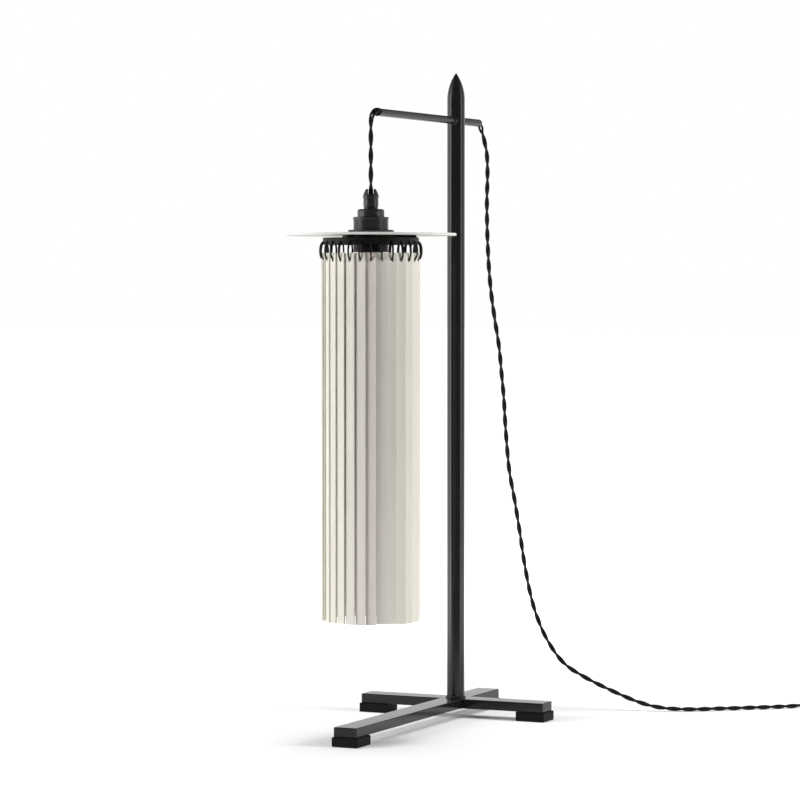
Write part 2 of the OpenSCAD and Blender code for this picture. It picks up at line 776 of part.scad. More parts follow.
module plug_pins() {
    color([0.75, 0.75, 0.72]) for (s = [-1, 1])
        translate([coil_x + coil_r + s * pin_pitch / 2, plug_y - relief_l - plug_l, plug_z])
            rotate([90, 0, 0]) {
                cylinder(d = pin_d, h = pin_l - 1);
                translate([0, 0, pin_l - 1]) cylinder(d1 = pin_d, d2 = pin_d - 1.6, h = 1);
            }
}

pole_tube();
pole_tip();
pole_foot_plug();
weld_beads();
arm_tube();
arm_front_bush();
base_long_bar();
base_cross_bar();
foot_pads();
pad_screws();
base_bolt();
arm_flex();
flex_link();
pendant_flex();
cord_grip();
grip_screw();
holder_cap();
holder_body();
holder_core();
holder_contacts();
clamp_rings();
shade_disc();
slat_carrier();
slat_hooks();
bulb_glass();
bulb_cap();
rear_flex();
cord_coil();
coil_tie();
plug_body();
plug_pins();
for (i = [1 : slat_count]) slat(i);
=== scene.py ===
"""Table lamp: a black post on a cross foot, a thin arm and a hanging shade of pale slats.

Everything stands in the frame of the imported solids: +Z is up, the floor is at Z = 0 and
the shade hangs towards -Y. Sizes are in metres, apart from the outlines of turned pieces
and the sizes of the post, the arm, the lampholder and the bulb, which are in millimetres.
Each sub-assembly is a class that builds its own pieces, dresses them and hands them to
the body that carries them.
"""

import json
import logging
import math
import random
from dataclasses import dataclass
from enum import Enum
from typing import Callable, Sequence

import bmesh
import bpy
from mathutils import Matrix, Vector, noise


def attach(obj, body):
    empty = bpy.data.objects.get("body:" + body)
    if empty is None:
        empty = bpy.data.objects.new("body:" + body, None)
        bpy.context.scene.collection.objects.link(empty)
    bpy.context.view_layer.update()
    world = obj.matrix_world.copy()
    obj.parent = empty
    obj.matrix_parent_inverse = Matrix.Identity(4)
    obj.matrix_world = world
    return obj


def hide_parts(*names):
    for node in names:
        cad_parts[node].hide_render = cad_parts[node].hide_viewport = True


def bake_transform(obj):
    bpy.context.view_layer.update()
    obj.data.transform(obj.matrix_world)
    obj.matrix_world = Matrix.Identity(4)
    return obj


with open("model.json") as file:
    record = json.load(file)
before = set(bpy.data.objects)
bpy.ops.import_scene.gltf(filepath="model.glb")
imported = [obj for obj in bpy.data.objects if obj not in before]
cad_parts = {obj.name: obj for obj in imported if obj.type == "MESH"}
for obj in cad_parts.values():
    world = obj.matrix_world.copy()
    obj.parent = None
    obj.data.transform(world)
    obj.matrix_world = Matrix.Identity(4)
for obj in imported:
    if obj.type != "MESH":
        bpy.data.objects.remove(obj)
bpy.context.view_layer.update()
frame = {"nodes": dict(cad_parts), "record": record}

log = logging.getLogger("lamp")

MM = 0.001
POLE_Y = 0.1105
SHADE_Y = -0.114
ARM_Z = 0.678
SLATS = 28
Pair = tuple[float, float]
Triple = tuple[float, float, float]
Step = tuple[float, float, float, float]
Place = Sequence[float]
Profile = Sequence[Pair]
Thing = bpy.types.Object
Socket = bpy.types.NodeSocket


class Body(Enum):
    """The moving bodies that a piece can ride on."""

    STAND = "stand"
    LINK = "link"
    PENDANT = "pendant"
    SHADE = "shade"


class Axis(Enum):
    """The way that a turned piece's own axis points, as a turn from +Z."""

    UP = (0.0, 0.0, 0.0)
    BACK = (-math.pi / 2, 0.0, 0.0)
    FRONT = (math.pi / 2, 0.0, 0.0)


class Pattern(Enum):
    """How a finish varies over its surface, by the name of its node group."""

    GRAIN = "surface_grain"
    BRAID = "braid"


# Node groups and finishes


class NodeSheet:
    """A small hand for writing node trees.

    Args:
        tree: The tree that the nodes go into.
    """

    def __init__(self, tree: bpy.types.NodeTree) -> None:
        """Takes the tree, to write its nodes in a row."""
        self.tree = tree
        self.column = 0

    def add(self, kind: str, settings: dict | None = None, **values: object) -> bpy.types.Node:
        """Adds a node.

        Args:
            kind: The node's type, such as ShaderNodeMath.
            settings: Properties of the node itself.
            **values: Sockets by name, underscores for spaces, each a value or another socket.

        Returns:
            The new node.
        """
        node = self.tree.nodes.new(kind)
        node.location = (self.column, 0)
        self.column += 180
        for key, value in (settings or {}).items():
            setattr(node, key, value)
        for key, value in values.items():
            self.feed(node, key.replace("_", " "), value)
        return node

    def feed(self, node: bpy.types.Node, name: str | int, value: object) -> None:
        """Sets or links one input.

        Args:
            node: The node that it belongs to.
            name: The input's name or number.
            value: The value, or the socket that it is linked to.
        """
        socket = node.inputs[name]
        if isinstance(value, Socket):
            self.tree.links.new(value, socket)
        else:
            socket.default_value = value

    def maths(self, operation: str, *terms: object) -> Socket:
        """Adds a Math node.

        Args:
            operation: What the node does.
            *terms: One to three terms, each a value or a socket.

        Returns:
            The node's output.
        """
        node = self.add("ShaderNodeMath", {"operation": operation})
        for place, term in enumerate(terms):
            self.feed(node, place, term)
        return node.outputs[0]

    def span(self, value: object, low: object, high: object) -> Socket:
        """Returns value, from 0 to 1, laid out between low and high."""
        return self.add("ShaderNodeMapRange", Value=value, To_Min=low, To_Max=high).outputs[0]

    def ease(self, value: Socket, start: float, stop: float, low: float, high: float) -> Socket:
        """Returns a soft step from low to high while value goes from start to stop."""
        return self.add("ShaderNodeMapRange", {"interpolation_type": "SMOOTHSTEP"}, Value=value,
                        From_Min=start, From_Max=stop, To_Min=low, To_Max=high).outputs[0]

    def along(self, place: Socket, way: Place) -> Socket:
        """Measures a place along a direction.

        Args:
            place: The place.
            way: The direction.

        Returns:
            How far the place lies along it.
        """
        node = self.add("ShaderNodeVectorMath", {"operation": "DOT_PRODUCT"})
        self.feed(node, 0, place)
        self.feed(node, 1, way)
        return node.outputs["Value"]

    def blend(self, factor: object, a: object, b: object) -> Socket:
        """Mixes two colours.

        Args:
            factor: The share of the second colour.
            a: The first colour.
            b: The second colour.

        Returns:
            The mixed colour.
        """
        node = self.add("ShaderNodeMix", {"data_type": "RGBA"})
        for place, value in ((0, factor), (6, a), (7, b)):
            self.feed(node, place, value)
        return node.outputs[2]


class EffectGroups:
    """The shader node groups that the finishes share, each built once."""

    GIVEN = {"Vector": "Vector", "Mottle": "Float", "Grain": "Float", "Colour": "Color", "Shade": "Color",
             "Rough Low": "Float", "Rough High": "Float"}
    MADE = {"Colour": "Color", "Roughness": "Float", "Height": "Float"}

    @classmethod
    def tree(cls, pattern: Pattern) -> bpy.types.NodeTree:
        """Builds the group of a pattern at its first use.

        Args:
            pattern: The pattern.

        Returns:
            The group's tree.
        """
        tree = bpy.data.node_groups.get(pattern.value)
        if tree:
            return tree
        tree = bpy.data.node_groups.new(pattern.value, "ShaderNodeTree")
        for side, sockets in (("INPUT", cls.GIVEN), ("OUTPUT", cls.MADE)):
            for label, kind in sockets.items():
                tree.interface.new_socket(label, in_out=side, socket_type=f"NodeSocket{kind}")
        sheet = NodeSheet(tree)
        given = sheet.add("NodeGroupInput").outputs
        write = cls.braid if pattern is Pattern.BRAID else cls.surface_grain
        share, rough, height = write(sheet, given)
        sheet.add("NodeGroupOutput", Colour=sheet.blend(share, given["Colour"], given["Shade"]),
                  Roughness=sheet.span(rough, given["Rough Low"], given["Rough High"]), Height=height)
        return tree

    @staticmethod
    def surface_grain(sheet: NodeSheet, given: bpy.types.NodeOutputs) -> tuple[Socket, Socket, Socket]:
        """Writes broad mottling and fine grain, for paint, plastic, rubber and clay.

        Args:
            sheet: The group's tree.
            given: What the group is given.

        Returns:
            The share of the second colour, the share of the higher roughness, and the height.
        """
        broad = sheet.add("ShaderNodeTexNoise", Vector=given["Vector"], Scale=given["Mottle"], Detail=4.0,
                          Roughness=0.6).outputs[0]
        fine = sheet.add("ShaderNodeTexNoise", Vector=given["Vector"], Scale=given["Grain"], Detail=3.0,
                         Roughness=0.55).outputs[0]
        spread = sheet.add("ShaderNodeMapRange", Value=broad, From_Min=0.3, From_Max=0.7).outputs[0]
        both = sheet.maths("MULTIPLY_ADD", fine, 0.5, sheet.maths("MULTIPLY", spread, 0.5))
        return spread, both, fine

    @staticmethod
    def braid(sheet: NodeSheet, given: bpy.types.NodeOutputs) -> tuple[Socket, Socket, Socket]:
        """Writes the crossing yarns of a braided sleeve, along the flex's own UV map, with painted shade in
        the hollows between them.

        Args:
            sheet: The group's tree.
            given: What the group is given, with the yarns as its mottle and the rows as its grain.

        Returns:
            The share of the second colour, the share of the higher roughness, and the height.
        """
        parts = sheet.add("ShaderNodeSeparateXYZ", Vector=given["Vector"]).outputs
        around = sheet.maths("MULTIPLY", parts[0], given["Mottle"])
        rows = sheet.maths("MULTIPLY", parts[1], given["Grain"])
        waves = []
        for joined in ("ADD", "SUBTRACT"):
            turn = sheet.maths("MULTIPLY", sheet.maths(joined, around, rows), math.pi)
            waves.append(sheet.maths("ABSOLUTE", sheet.maths("SINE", turn)))
        knot = sheet.maths("POWER", sheet.maths("MAXIMUM", *waves), 0.6)
        # painted shade: the hollows between yarns turn towards the darker shade colour, besides their real
        # bumps and rougher surface
        painted_hollow_shade = sheet.maths("SUBTRACT", 1.0, knot)
        return painted_hollow_shade, painted_hollow_shade, knot


@dataclass(frozen=True)
class Finish:
    """One finish of the lamp, as a procedural material.

    Args:
        name: The material's name.
        slot: The record's material slot that it belongs to.
        colour: Main colour.
        shade: Colour that the pattern turns it towards; in a braid, the painted shade of the hollows between
            yarns.
        rough: Lowest and highest roughness.
        mottle: Scale of the broad variation, per metre.
        grain: Scale of the fine grain, per metre.
        relief: Height of the grain, in metres.
        metallic: Metallic share.
        coat: Weight of a clear coat.
        sheen: Weight of the cloth sheen.
        gloss: Specular level, where 0.5 is plain.
        stretch: How much the pattern is drawn out along Z.
        pattern: How the surface varies.
    """

    name: str
    slot: str
    colour: Triple
    shade: Triple
    rough: Pair
    mottle: float = 40.0
    grain: float = 900.0
    relief: float = 0.00002
    metallic: float = 0.0
    coat: float = 0.0
    sheen: float = 0.0
    gloss: float = 0.5
    stretch: float = 1.0
    pattern: Pattern = Pattern.GRAIN

    def material(self) -> bpy.types.Material:
        """Builds this finish's material at its first use.

        Returns:
            The material.
        """
        made = bpy.data.materials.get(self.name)
        if made:
            return made
        made = bpy.data.materials.new(self.name)
        made.use_nodes = True
        made.diffuse_color = (*self.colour, 1.0)
        sheet = NodeSheet(made.node_tree)
        place = sheet.add("ShaderNodeTexCoord").outputs["UV" if self.pattern is Pattern.BRAID else "Object"]
        drawn = sheet.add("ShaderNodeMapping", Vector=place, Scale=(1.0, 1.0, 1.0 / self.stretch)).outputs[0]
        group = sheet.add("ShaderNodeGroup", {"node_tree": EffectGroups.tree(self.pattern)}, Vector=drawn,
                          Mottle=self.mottle, Grain=self.grain, Colour=(*self.colour, 1.0),
                          Shade=(*self.shade, 1.0), Rough_Low=self.rough[0], Rough_High=self.rough[1]).outputs
        bump = sheet.add("ShaderNodeBump", Height=group["Height"], Distance=self.relief, Strength=1.0)
        shader = made.node_tree.nodes["Principled BSDF"]
        for label, value in (("Base Color", group["Colour"]), ("Roughness", group["Roughness"]),
                             ("Normal", bump.outputs[0]), ("Metallic", self.metallic),
                             ("Coat Weight", self.coat), ("Coat Roughness", 0.2),
                             ("Sheen Weight", self.sheen), ("Specular IOR Level", self.gloss)):
            sheet.feed(shader, label, value)
        return made


SATIN_BLACK = Finish(
    "satin_black_paint", "black_steel", (0.0085, 0.0085, 0.0087), (0.0105, 0.0105, 0.0105), (0.13, 0.17),
    mottle=55.0, grain=900.0, relief=0.0, gloss=0.4)
ARM_BLACK = Finish(
    "arm_black_paint", "black_steel", (0.011, 0.011, 0.011), (0.014, 0.014, 0.0138), (0.24, 0.3),
    mottle=60.0, grain=900.0, relief=0.000001, gloss=0.25)
SLEEVE_BLACK = Finish(
    "sleeve_black_rubber", "holder_plastic", (0.0015, 0.0015, 0.0015), (0.003, 0.003, 0.003), (0.5, 0.65),
    mottle=90.0, grain=1100.0, relief=0.00001, gloss=0.09)
TIP_BLACK = Finish(
    "tip_black_paint", "black_steel", (0.008, 0.008, 0.008), (0.014, 0.014, 0.0136), (0.16, 0.28),
    mottle=300.0, grain=1100.0, relief=0.00003, gloss=0.4, stretch=7.0)
BAR_BLACK = Finish(
    "bar_black_paint", "black_steel", (0.0065, 0.0065, 0.0064), (0.01, 0.01, 0.0098), (0.1, 0.17),
    mottle=45.0, grain=1300.0, relief=0.000003, gloss=0.36)
WELD_BLACK = Finish(
    "weld_black_paint", "black_steel", (0.014, 0.014, 0.014), (0.022, 0.022, 0.022), (0.2, 0.34),
    mottle=260.0, grain=1600.0, relief=0.00006)
WIRE_BLACK = Finish(
    "wire_black", "black_steel", (0.004, 0.004, 0.004), (0.008, 0.008, 0.0075), (0.42, 0.55),
    mottle=140.0, grain=1800.0, relief=0.00001, gloss=0.22)
PAD_BLACK = Finish(
    "pad_black", "pad_rubber", (0.004, 0.004, 0.004), (0.0065, 0.0065, 0.0065), (0.5, 0.65),
    mottle=90.0, grain=1100.0, relief=0.00003, gloss=0.15)
HOLDER_BLACK = Finish(
    "holder_black_moulding", "holder_plastic", (0.0105, 0.0089, 0.0093), (0.015, 0.013, 0.0135), (0.33, 0.41),
    mottle=120.0, grain=1700.0, relief=0.000012, gloss=0.62)
PLUG_BLACK = Finish(
    "plug_black", "plug_rubber", (0.012, 0.012, 0.012), (0.018, 0.018, 0.018), (0.45, 0.6),
    mottle=120.0, grain=1600.0, relief=0.00002)
# its shade colour is painted shade for the hollows of the braid
FLEX_BLACK = Finish(
    "flex_black_braid", "flex_fabric", (0.0105, 0.0103, 0.0098), (0.0035, 0.0035, 0.0034), (0.6, 0.85),
    mottle=8.0, grain=1050.0, relief=0.00012, sheen=0.03, gloss=0.25, pattern=Pattern.BRAID)
DISC_PALE = Finish(
    "disc_pale_paint", "disc_paint", (0.86, 0.845, 0.81), (0.825, 0.81, 0.775), (0.45, 0.6),
    mottle=22.0, grain=900.0, relief=0.00001)
SLAT_PALE = Finish(
    "slat_pale_clay", "slat_pale", (0.80, 0.77, 0.69), (0.745, 0.713, 0.64), (0.55, 0.72),
    mottle=70.0, grain=1200.0, relief=0.00002, stretch=9.0)
SLAT_CREAM = Finish(
    "slat_cream_clay", "slat_pale", (0.82, 0.795, 0.695), (0.77, 0.742, 0.645), (0.55, 0.72),
    mottle=64.0, grain=1200.0, relief=0.00002, stretch=11.0)
SLAT_DUSK = Finish(
    "slat_dusk_paint", "slat_pale", (0.785, 0.718, 0.675), (0.72, 0.652, 0.612), (0.5, 0.68),
    mottle=38.0, grain=1300.0, relief=0.00002)
SLAT_ROSE = Finish(
    "slat_rose_clay", "slat_pale", (0.785, 0.74, 0.7), (0.72, 0.675, 0.635), (0.55, 0.72),
    mottle=78.0, grain=1200.0, relief=0.00002, stretch=8.0)
ZINC = Finish(
    "bright_zinc", "zinc_steel", (0.6, 0.6, 0.61), (0.46, 0.46, 0.48), (0.25, 0.42),
    mottle=160.0, grain=1400.0, relief=0.00001, metallic=1.0)
BRASS = Finish(
    "contact_brass", "contact_brass", (0.78, 0.6, 0.3), (0.6, 0.44, 0.2), (0.2, 0.36),
    mottle=150.0, grain=1500.0, relief=0.00001, metallic=1.0)
NICKEL = Finish(
    "plug_nickel", "pin_metal", (0.72, 0.69, 0.62), (0.6, 0.57, 0.5), (0.16, 0.3),
    mottle=150.0, grain=1500.0, relief=0.000006, metallic=1.0)
ALUMINIUM = Finish(
    "cap_aluminium", "bulb_metal", (0.76, 0.76, 0.75), (0.64, 0.64, 0.63), (0.24, 0.4),
    mottle=130.0, grain=1500.0, relief=0.00001, metallic=1.0)
CORE_WHITE = Finish(
    "core_ceramic", "core_ceramic", (0.8, 0.77, 0.71), (0.7, 0.67, 0.6), (0.5, 0.7),
    mottle=120.0, grain=1400.0, relief=0.00003)
OPAL = Finish(
    "bulb_opal", "bulb_glass", (0.88, 0.87, 0.84), (0.84, 0.83, 0.8), (0.16, 0.24),
    mottle=30.0, grain=600.0, relief=0.000002, coat=0.5)

PLAIN: dict[str, Finish] = {finish.slot: finish for finish in (
    SATIN_BLACK, ZINC, PAD_BLACK, FLEX_BLACK, HOLDER_BLACK, CORE_WHITE, BRASS, DISC_PALE, SLAT_PALE, OPAL,
    ALUMINIUM, PLUG_BLACK, NICKEL)}


# Modelling steps


def clear() -> None:
    """Leaves edit mode and deselects everything."""
    if bpy.context.object and bpy.context.object.mode != "OBJECT":
        bpy.ops.object.mode_set(mode="OBJECT")
    bpy.ops.object.select_all(action="DESELECT")


def take(obj: Thing) -> Thing:
    """Selects one object alone and makes it active.

    Args:
        obj: The object.

    Returns:
        The same object.
    """
    clear()
    obj.select_set(True)
    bpy.context.view_layer.objects.active = obj
    return obj


def edit(obj: Thing, everything: bool = True) -> None:
    """Opens one object in edit mode.

    Args:
        obj: The object.
        everything: Whether all of it is selected, or none.
    """
    take(obj)
    bpy.ops.object.mode_set(mode="EDIT")
    bpy.ops.mesh.select_mode(type="VERT")
    bpy.ops.mesh.select_all(action="SELECT" if everything else "DESELECT")


def pick(obj: Thing, wanted: Callable[[Vector], bool]) -> None:
    """Selects vertices of an object that is in edit mode.

    Args:
        obj: The object.
        wanted: Says for a vertex's place whether it is selected.
    """
    mesh = bmesh.from_edit_mesh(obj.data)
    for vert in mesh.verts:
        vert.select_set(wanted(vert.co))
    mesh.select_flush(True)
    mesh.select_flush(False)
    bmesh.update_edit_mesh(obj.data)


def settle(obj: Thing, name: str) -> Thing:
    """Applies an object's place to its mesh and names both.

    Args:
        obj: The object.
        name: The name.

    Returns:
        The same object.
    """
    take(obj)
    bpy.ops.object.transform_apply(location=True, rotation=True, scale=True)
    obj.name = name
    obj.data.name = name
    return obj


def modify(obj: Thing, kind: str, **settings: object) -> None:
    """Adds one modifier and applies it.

    Args:
        obj: The object.
        kind: The modifier's type, such as BEVEL.
        **settings: Properties of the modifier.
    """
    take(obj)
    modifier = obj.modifiers.new(kind, kind)
    for key, value in settings.items():
        setattr(modifier, key, value)
    bpy.ops.object.modifier_apply(modifier=modifier.name)


def smooth(obj: Thing, degrees: float = 38.0) -> Thing:
    """Shades an object smooth, with its flats kept flat.

    Args:
        obj: The object.
        degrees: Angle above which an edge stays sharp.

    Returns:
        The same object.
    """
    take(obj)
    bpy.ops.object.shade_smooth_by_angle(angle=math.radians(degrees))
    modify(obj, "WEIGHTED_NORMAL", mode="FACE_AREA", weight=90, keep_sharp=True)
    return obj


def outward(obj: Thing) -> None:
    """Merges doubled points and turns all faces outwards.

    Args:
        obj: The object.
    """
    edit(obj)
    bpy.ops.mesh.remove_doubles(threshold=0.00003)
    bpy.ops.mesh.normals_make_consistent(inside=False)
    clear()


def turned(name: str, profile: Profile, at: Place = (0.0, 0.0, 0.0), axis: Axis = Axis.UP,
           sides: int = 72) -> Thing:
    """Makes a turned piece by extruding and resizing a ring along its axis.

    Args:
        name: The piece's name.
        profile: (radius, height) pairs in millimetres, from one end to the other. A profile
            that ends where it began makes a closed ring.
        at: Where the axis starts.
        axis: Which way the axis points.
        sides: Sides of the ring.

    Returns:
        The finished piece, smooth between its edges.
    """
    points = [(max(r, 0.01) * MM, z * MM) for r, z in profile]
    clear()
    bpy.ops.mesh.primitive_circle_add(vertices=sides, radius=points[0][0], fill_type="NOTHING",
                                      location=(0.0, 0.0, points[0][1]))
    obj = settle(bpy.context.object, name)
    edit(obj)
    for (before, low), (after, high) in zip(points, points[1:]):
        bpy.ops.mesh.extrude_region_move(TRANSFORM_OT_translate={"value": (0.0, 0.0, high - low)})
        ratio = after / before
        bpy.ops.transform.resize(value=(ratio, ratio, 1.0), center_override=(0.0, 0.0, high))
    clear()
    outward(obj)
    obj.rotation_euler = axis.value
    obj.location = at
    return smooth(settle(obj, name))


def block(name: str, low: Place, high: Place, bevel: float, segments: int = 3) -> Thing:
    """Makes a block with rounded edges.

    Args:
        name: The piece's name.
        low: Lowest corner.
        high: Highest corner.
        bevel: Radius of the edges.
        segments: Steps of the edges' rounding.

    Returns:
        The finished block.
    """
    size = [b - a for a, b in zip(low, high)]
    middle = [(a + b) / 2 for a, b in zip(low, high)]
    clear()
    bpy.ops.mesh.primitive_cube_add(size=1.0, location=middle, scale=size)
    obj = settle(bpy.context.object, name)
    if bevel:
        modify(obj, "BEVEL", width=bevel, segments=segments, limit_method="ANGLE")
    return obj


def cut(obj: Thing, tool: Thing) -> None:
    """Cuts a tool's shape out of an object and throws the tool away."""
    modify(obj, "BOOLEAN", operation="DIFFERENCE", object=tool, solver="EXACT")
    bpy.data.objects.remove(tool, do_unlink=True)


def join(name: str, parts: Sequence[Thing]) -> Thing:
    """Joins several objects into one piece.

    Args:
        name: The piece's name.
        parts: The objects.

    Returns:
        The piece.
    """
    take(parts[0])
    for part in parts[1:]:
        part.select_set(True)
    bpy.ops.object.join()
    return settle(bpy.context.object, name)


def placed(name: str, data: bpy.types.ID) -> Thing:
    """Puts new data into the scene.

    Args:
        name: The object's name.
        data: What it shows, such as a mesh, a camera or a lamp.

    Returns:
        The new object.
    """
    obj = bpy.data.objects.new(name, data)
    bpy.context.scene.collection.objects.link(obj)
    return obj


def copy(obj: Thing, name: str, place: Matrix) -> Thing:
    """Copies an object, with a mesh of its own.

    Args:
        obj: The object.
        name: The copy's name.
        place: How the copy is moved.

    Returns:
        The copy.
    """
    twin = placed(name, obj.data.copy())
    twin.data.name = name
    twin.data.transform(place)
    return twin


def turn_about(axis: str, degrees: float) -> Matrix:
    """Returns a turn about one of the frame's axes."""
    return Matrix.Rotation(math.radians(degrees), 4, axis)


def hand_over(piece: Thing, finish: Finish, body: Body | str | None, *nodes: str) -> Thing:
    """Dresses a piece and hands it to its body.

    Args:
        piece: The finished piece.
        finish: Its finish, which knows its material slot.
        body: The body that it rides on, or None, which leaves it on no body.
        *nodes: CAD nodes that it stands for.

    Returns:
        The piece.
    """
    piece.data.materials.clear()
    piece.data.materials.append(finish.material())
    if body is not None:
        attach(piece, body.value if isinstance(body, Body) else body)
    if nodes:
        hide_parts(*nodes)
    faces, stands_for = len(piece.data.polygons), ", ".join(nodes) or "itself"
    log.info("%s: %d faces, stands for %s", piece.name, faces, stands_for)
    return piece


# Routes and twisted flex


def smooth_route(points: Sequence[Vector], steps: int) -> list[Vector]:
    """Lays a smooth route through points.

    Args:
        points: The points, in order.
        steps: Points of the route for each stretch between two.

    Returns:
        The route.
    """
    line: list[Vector] = []
    last = len(points) - 1
    for i in range(last):
        p0, p1, p2, p3 = points[max(i - 1, 0)], points[i], points[i + 1], points[min(i + 2, last)]
        for s in range(steps):
            t = s / steps
            line.append(0.5 * (2 * p1 + (p2 - p0) * t + (2 * p0 - 5 * p1 + 4 * p2 - p3) * t * t
                               + (3 * p1 - p0 - 3 * p2 + p3) * t ** 3))
    line.append(points[last].copy())
    return line


def route_length(line: Sequence[Vector]) -> float:
    """Returns the length of a route."""
    return sum((b - a).length for a, b in zip(line, line[1:]))


def heading(line: Sequence[Vector], i: int) -> Vector:
    """Returns the direction of a route at its point i."""
    return (line[min(i + 1, len(line) - 1)] - line[max(i - 1, 0)]).normalized()


def even_route(line: Sequence[Vector], spacing: float) -> list[Vector]:
    """Lays the points of a route out again at even distances.

    Args:
        line: The route.
        spacing: About how far the points lie apart.

    Returns:
        The new route, with the same ends.
    """
    total = route_length(line)
    count = max(2, round(total / spacing))
    step = total / count
    out = [line[0].copy()]
    walked, target = 0.0, step
    for a, b in zip(line, line[1:]):
        reach = (b - a).length
        while reach > 0 and walked + reach >= target - 1e-9 and len(out) < count:
            out.append(a.lerp(b, (target - walked) / reach))
            target += step
        walked += reach
    out.append(line[-1].copy())
    return out


@dataclass
class TwistedFlex:
    """Two braided cores twisted together along a route.

    Args:
        name: The piece's name.
        route: The centreline.
        node_at: Distance along the route where one core lies behind the other, seen along sight.
        pitch: Length of a full turn.
        slack: Distance before which the twist is slack, and its pitch there.
        side: Side direction at the start of the route.
        core_r: Radius of a core.
        opening: Distance, half length and share of a place where the cores stand apart.
        sides: Sides of a core.
        spacing: Distance between rings.
    """

    name: str
    route: list[Vector]
    node_at: float
    pitch: float = 0.0385
    slack: Pair = (0.0, 1.0)
    side: Triple = (0.9065, 0.4222, 0.0)
    core_r: float = 0.001325
    opening: Triple = (0.0, 0.001, 0.0)
    sides: int = 12
    spacing: float = 0.0016

    def frames(self, line: list[Vector]) -> list[tuple[Vector, Vector, Vector]]:
        """Carries the side direction along a route, turning as little as it can.

        Args:
            line: The route.

        Returns:
            Tangent, side and third direction at each point.
        """
        out: list[tuple[Vector, Vector, Vector]] = []
        side = Vector(self.side)
        for i in range(len(line)):
            tangent = heading(line, i)
            side = (side - tangent * side.dot(tangent)).normalized()
            out.append((tangent, side, tangent.cross(side)))
        return out

    def turn(self, distance: float) -> float:
        """Finds how far the cores have turned.

        Args:
            distance: Distance along the centreline.

        Returns:
            The turn in radians.
        """
        until, slack_pitch = self.slack
        loose = min(distance - until, 0.0)
        return 2 * math.pi * ((max(distance, until) - self.node_at) / self.pitch + loose / slack_pitch)

    def spread(self, distance: float) -> float:
        """Finds how far a core's middle lies from the centreline.

        Args:
            distance: Distance along the centreline.

        Returns:
            How far it lies to the side.
        """
        middle, half, share = self.opening
        x = (distance - middle) / half
        return self.core_r * (1.0 + share * max(0.0, 1.0 - x * x) ** 2)

    def build(self) -> Thing:
        """Builds both cores as one mesh, with a UV map that runs along them.

        Returns:
            The flex.
        """
        line = even_route(self.route, self.spacing)
        step = route_length(line) / (len(line) - 1)
        frames = self.frames(line)
        verts: list[Vector] = []
        faces: list[tuple[int, ...]] = []
        uvs: list[Pair] = []
        for core in (0, 1):
            middles: list[Vector] = []
            for i, (point, (_, side, third)) in enumerate(zip(line, frames)):
                turn = self.turn(i * step) + math.pi / 2 + core * math.pi
                offset = side * math.cos(turn) + third * math.sin(turn)
                middles.append(point + offset * self.spread(i * step))
            base = len(verts)
            along = 0.0
            for i, middle in enumerate(middles):
                tangent = heading(middles, i)
                out = middle - line[i]
                out = (out - tangent * out.dot(tangent)).normalized()
                third = tangent.cross(out)
                if i:
                    along += (middle - middles[i - 1]).length
                for k in range(self.sides):
                    a = 2 * math.pi * k / self.sides
                    verts.append(middle + self.core_r * (math.cos(a) * out + math.sin(a) * third))
                if i:
                    row = base + i * self.sides
                    low = row - self.sides
                    for k in range(self.sides):
                        after = (k + 1) % self.sides
                        faces.append((low + k, low + after, row + after, row + k))
                        left, right = k / self.sides, (k + 1) / self.sides
                        uvs += [(left, along - step), (right, along - step), (right, along), (left, along)]
            for ring, end in ((range(self.sides - 1, -1, -1), 0), (range(self.sides), len(line) - 1)):
                faces.append(tuple(base + end * self.sides + k for k in ring))
                uvs += [(k / self.sides, 0.0) for k in ring]
        mesh = bpy.data.meshes.new(self.name)
        mesh.from_pydata(verts, [], faces)
        layer = mesh.uv_layers.new(name="UVMap")
        for loop, uv in zip(layer.data, uvs):
            loop.uv = uv
        mesh.validate()
        obj = take(placed(self.name, mesh))
        bpy.ops.object.shade_smooth_by_angle(angle=math.radians(50.0))
        return obj


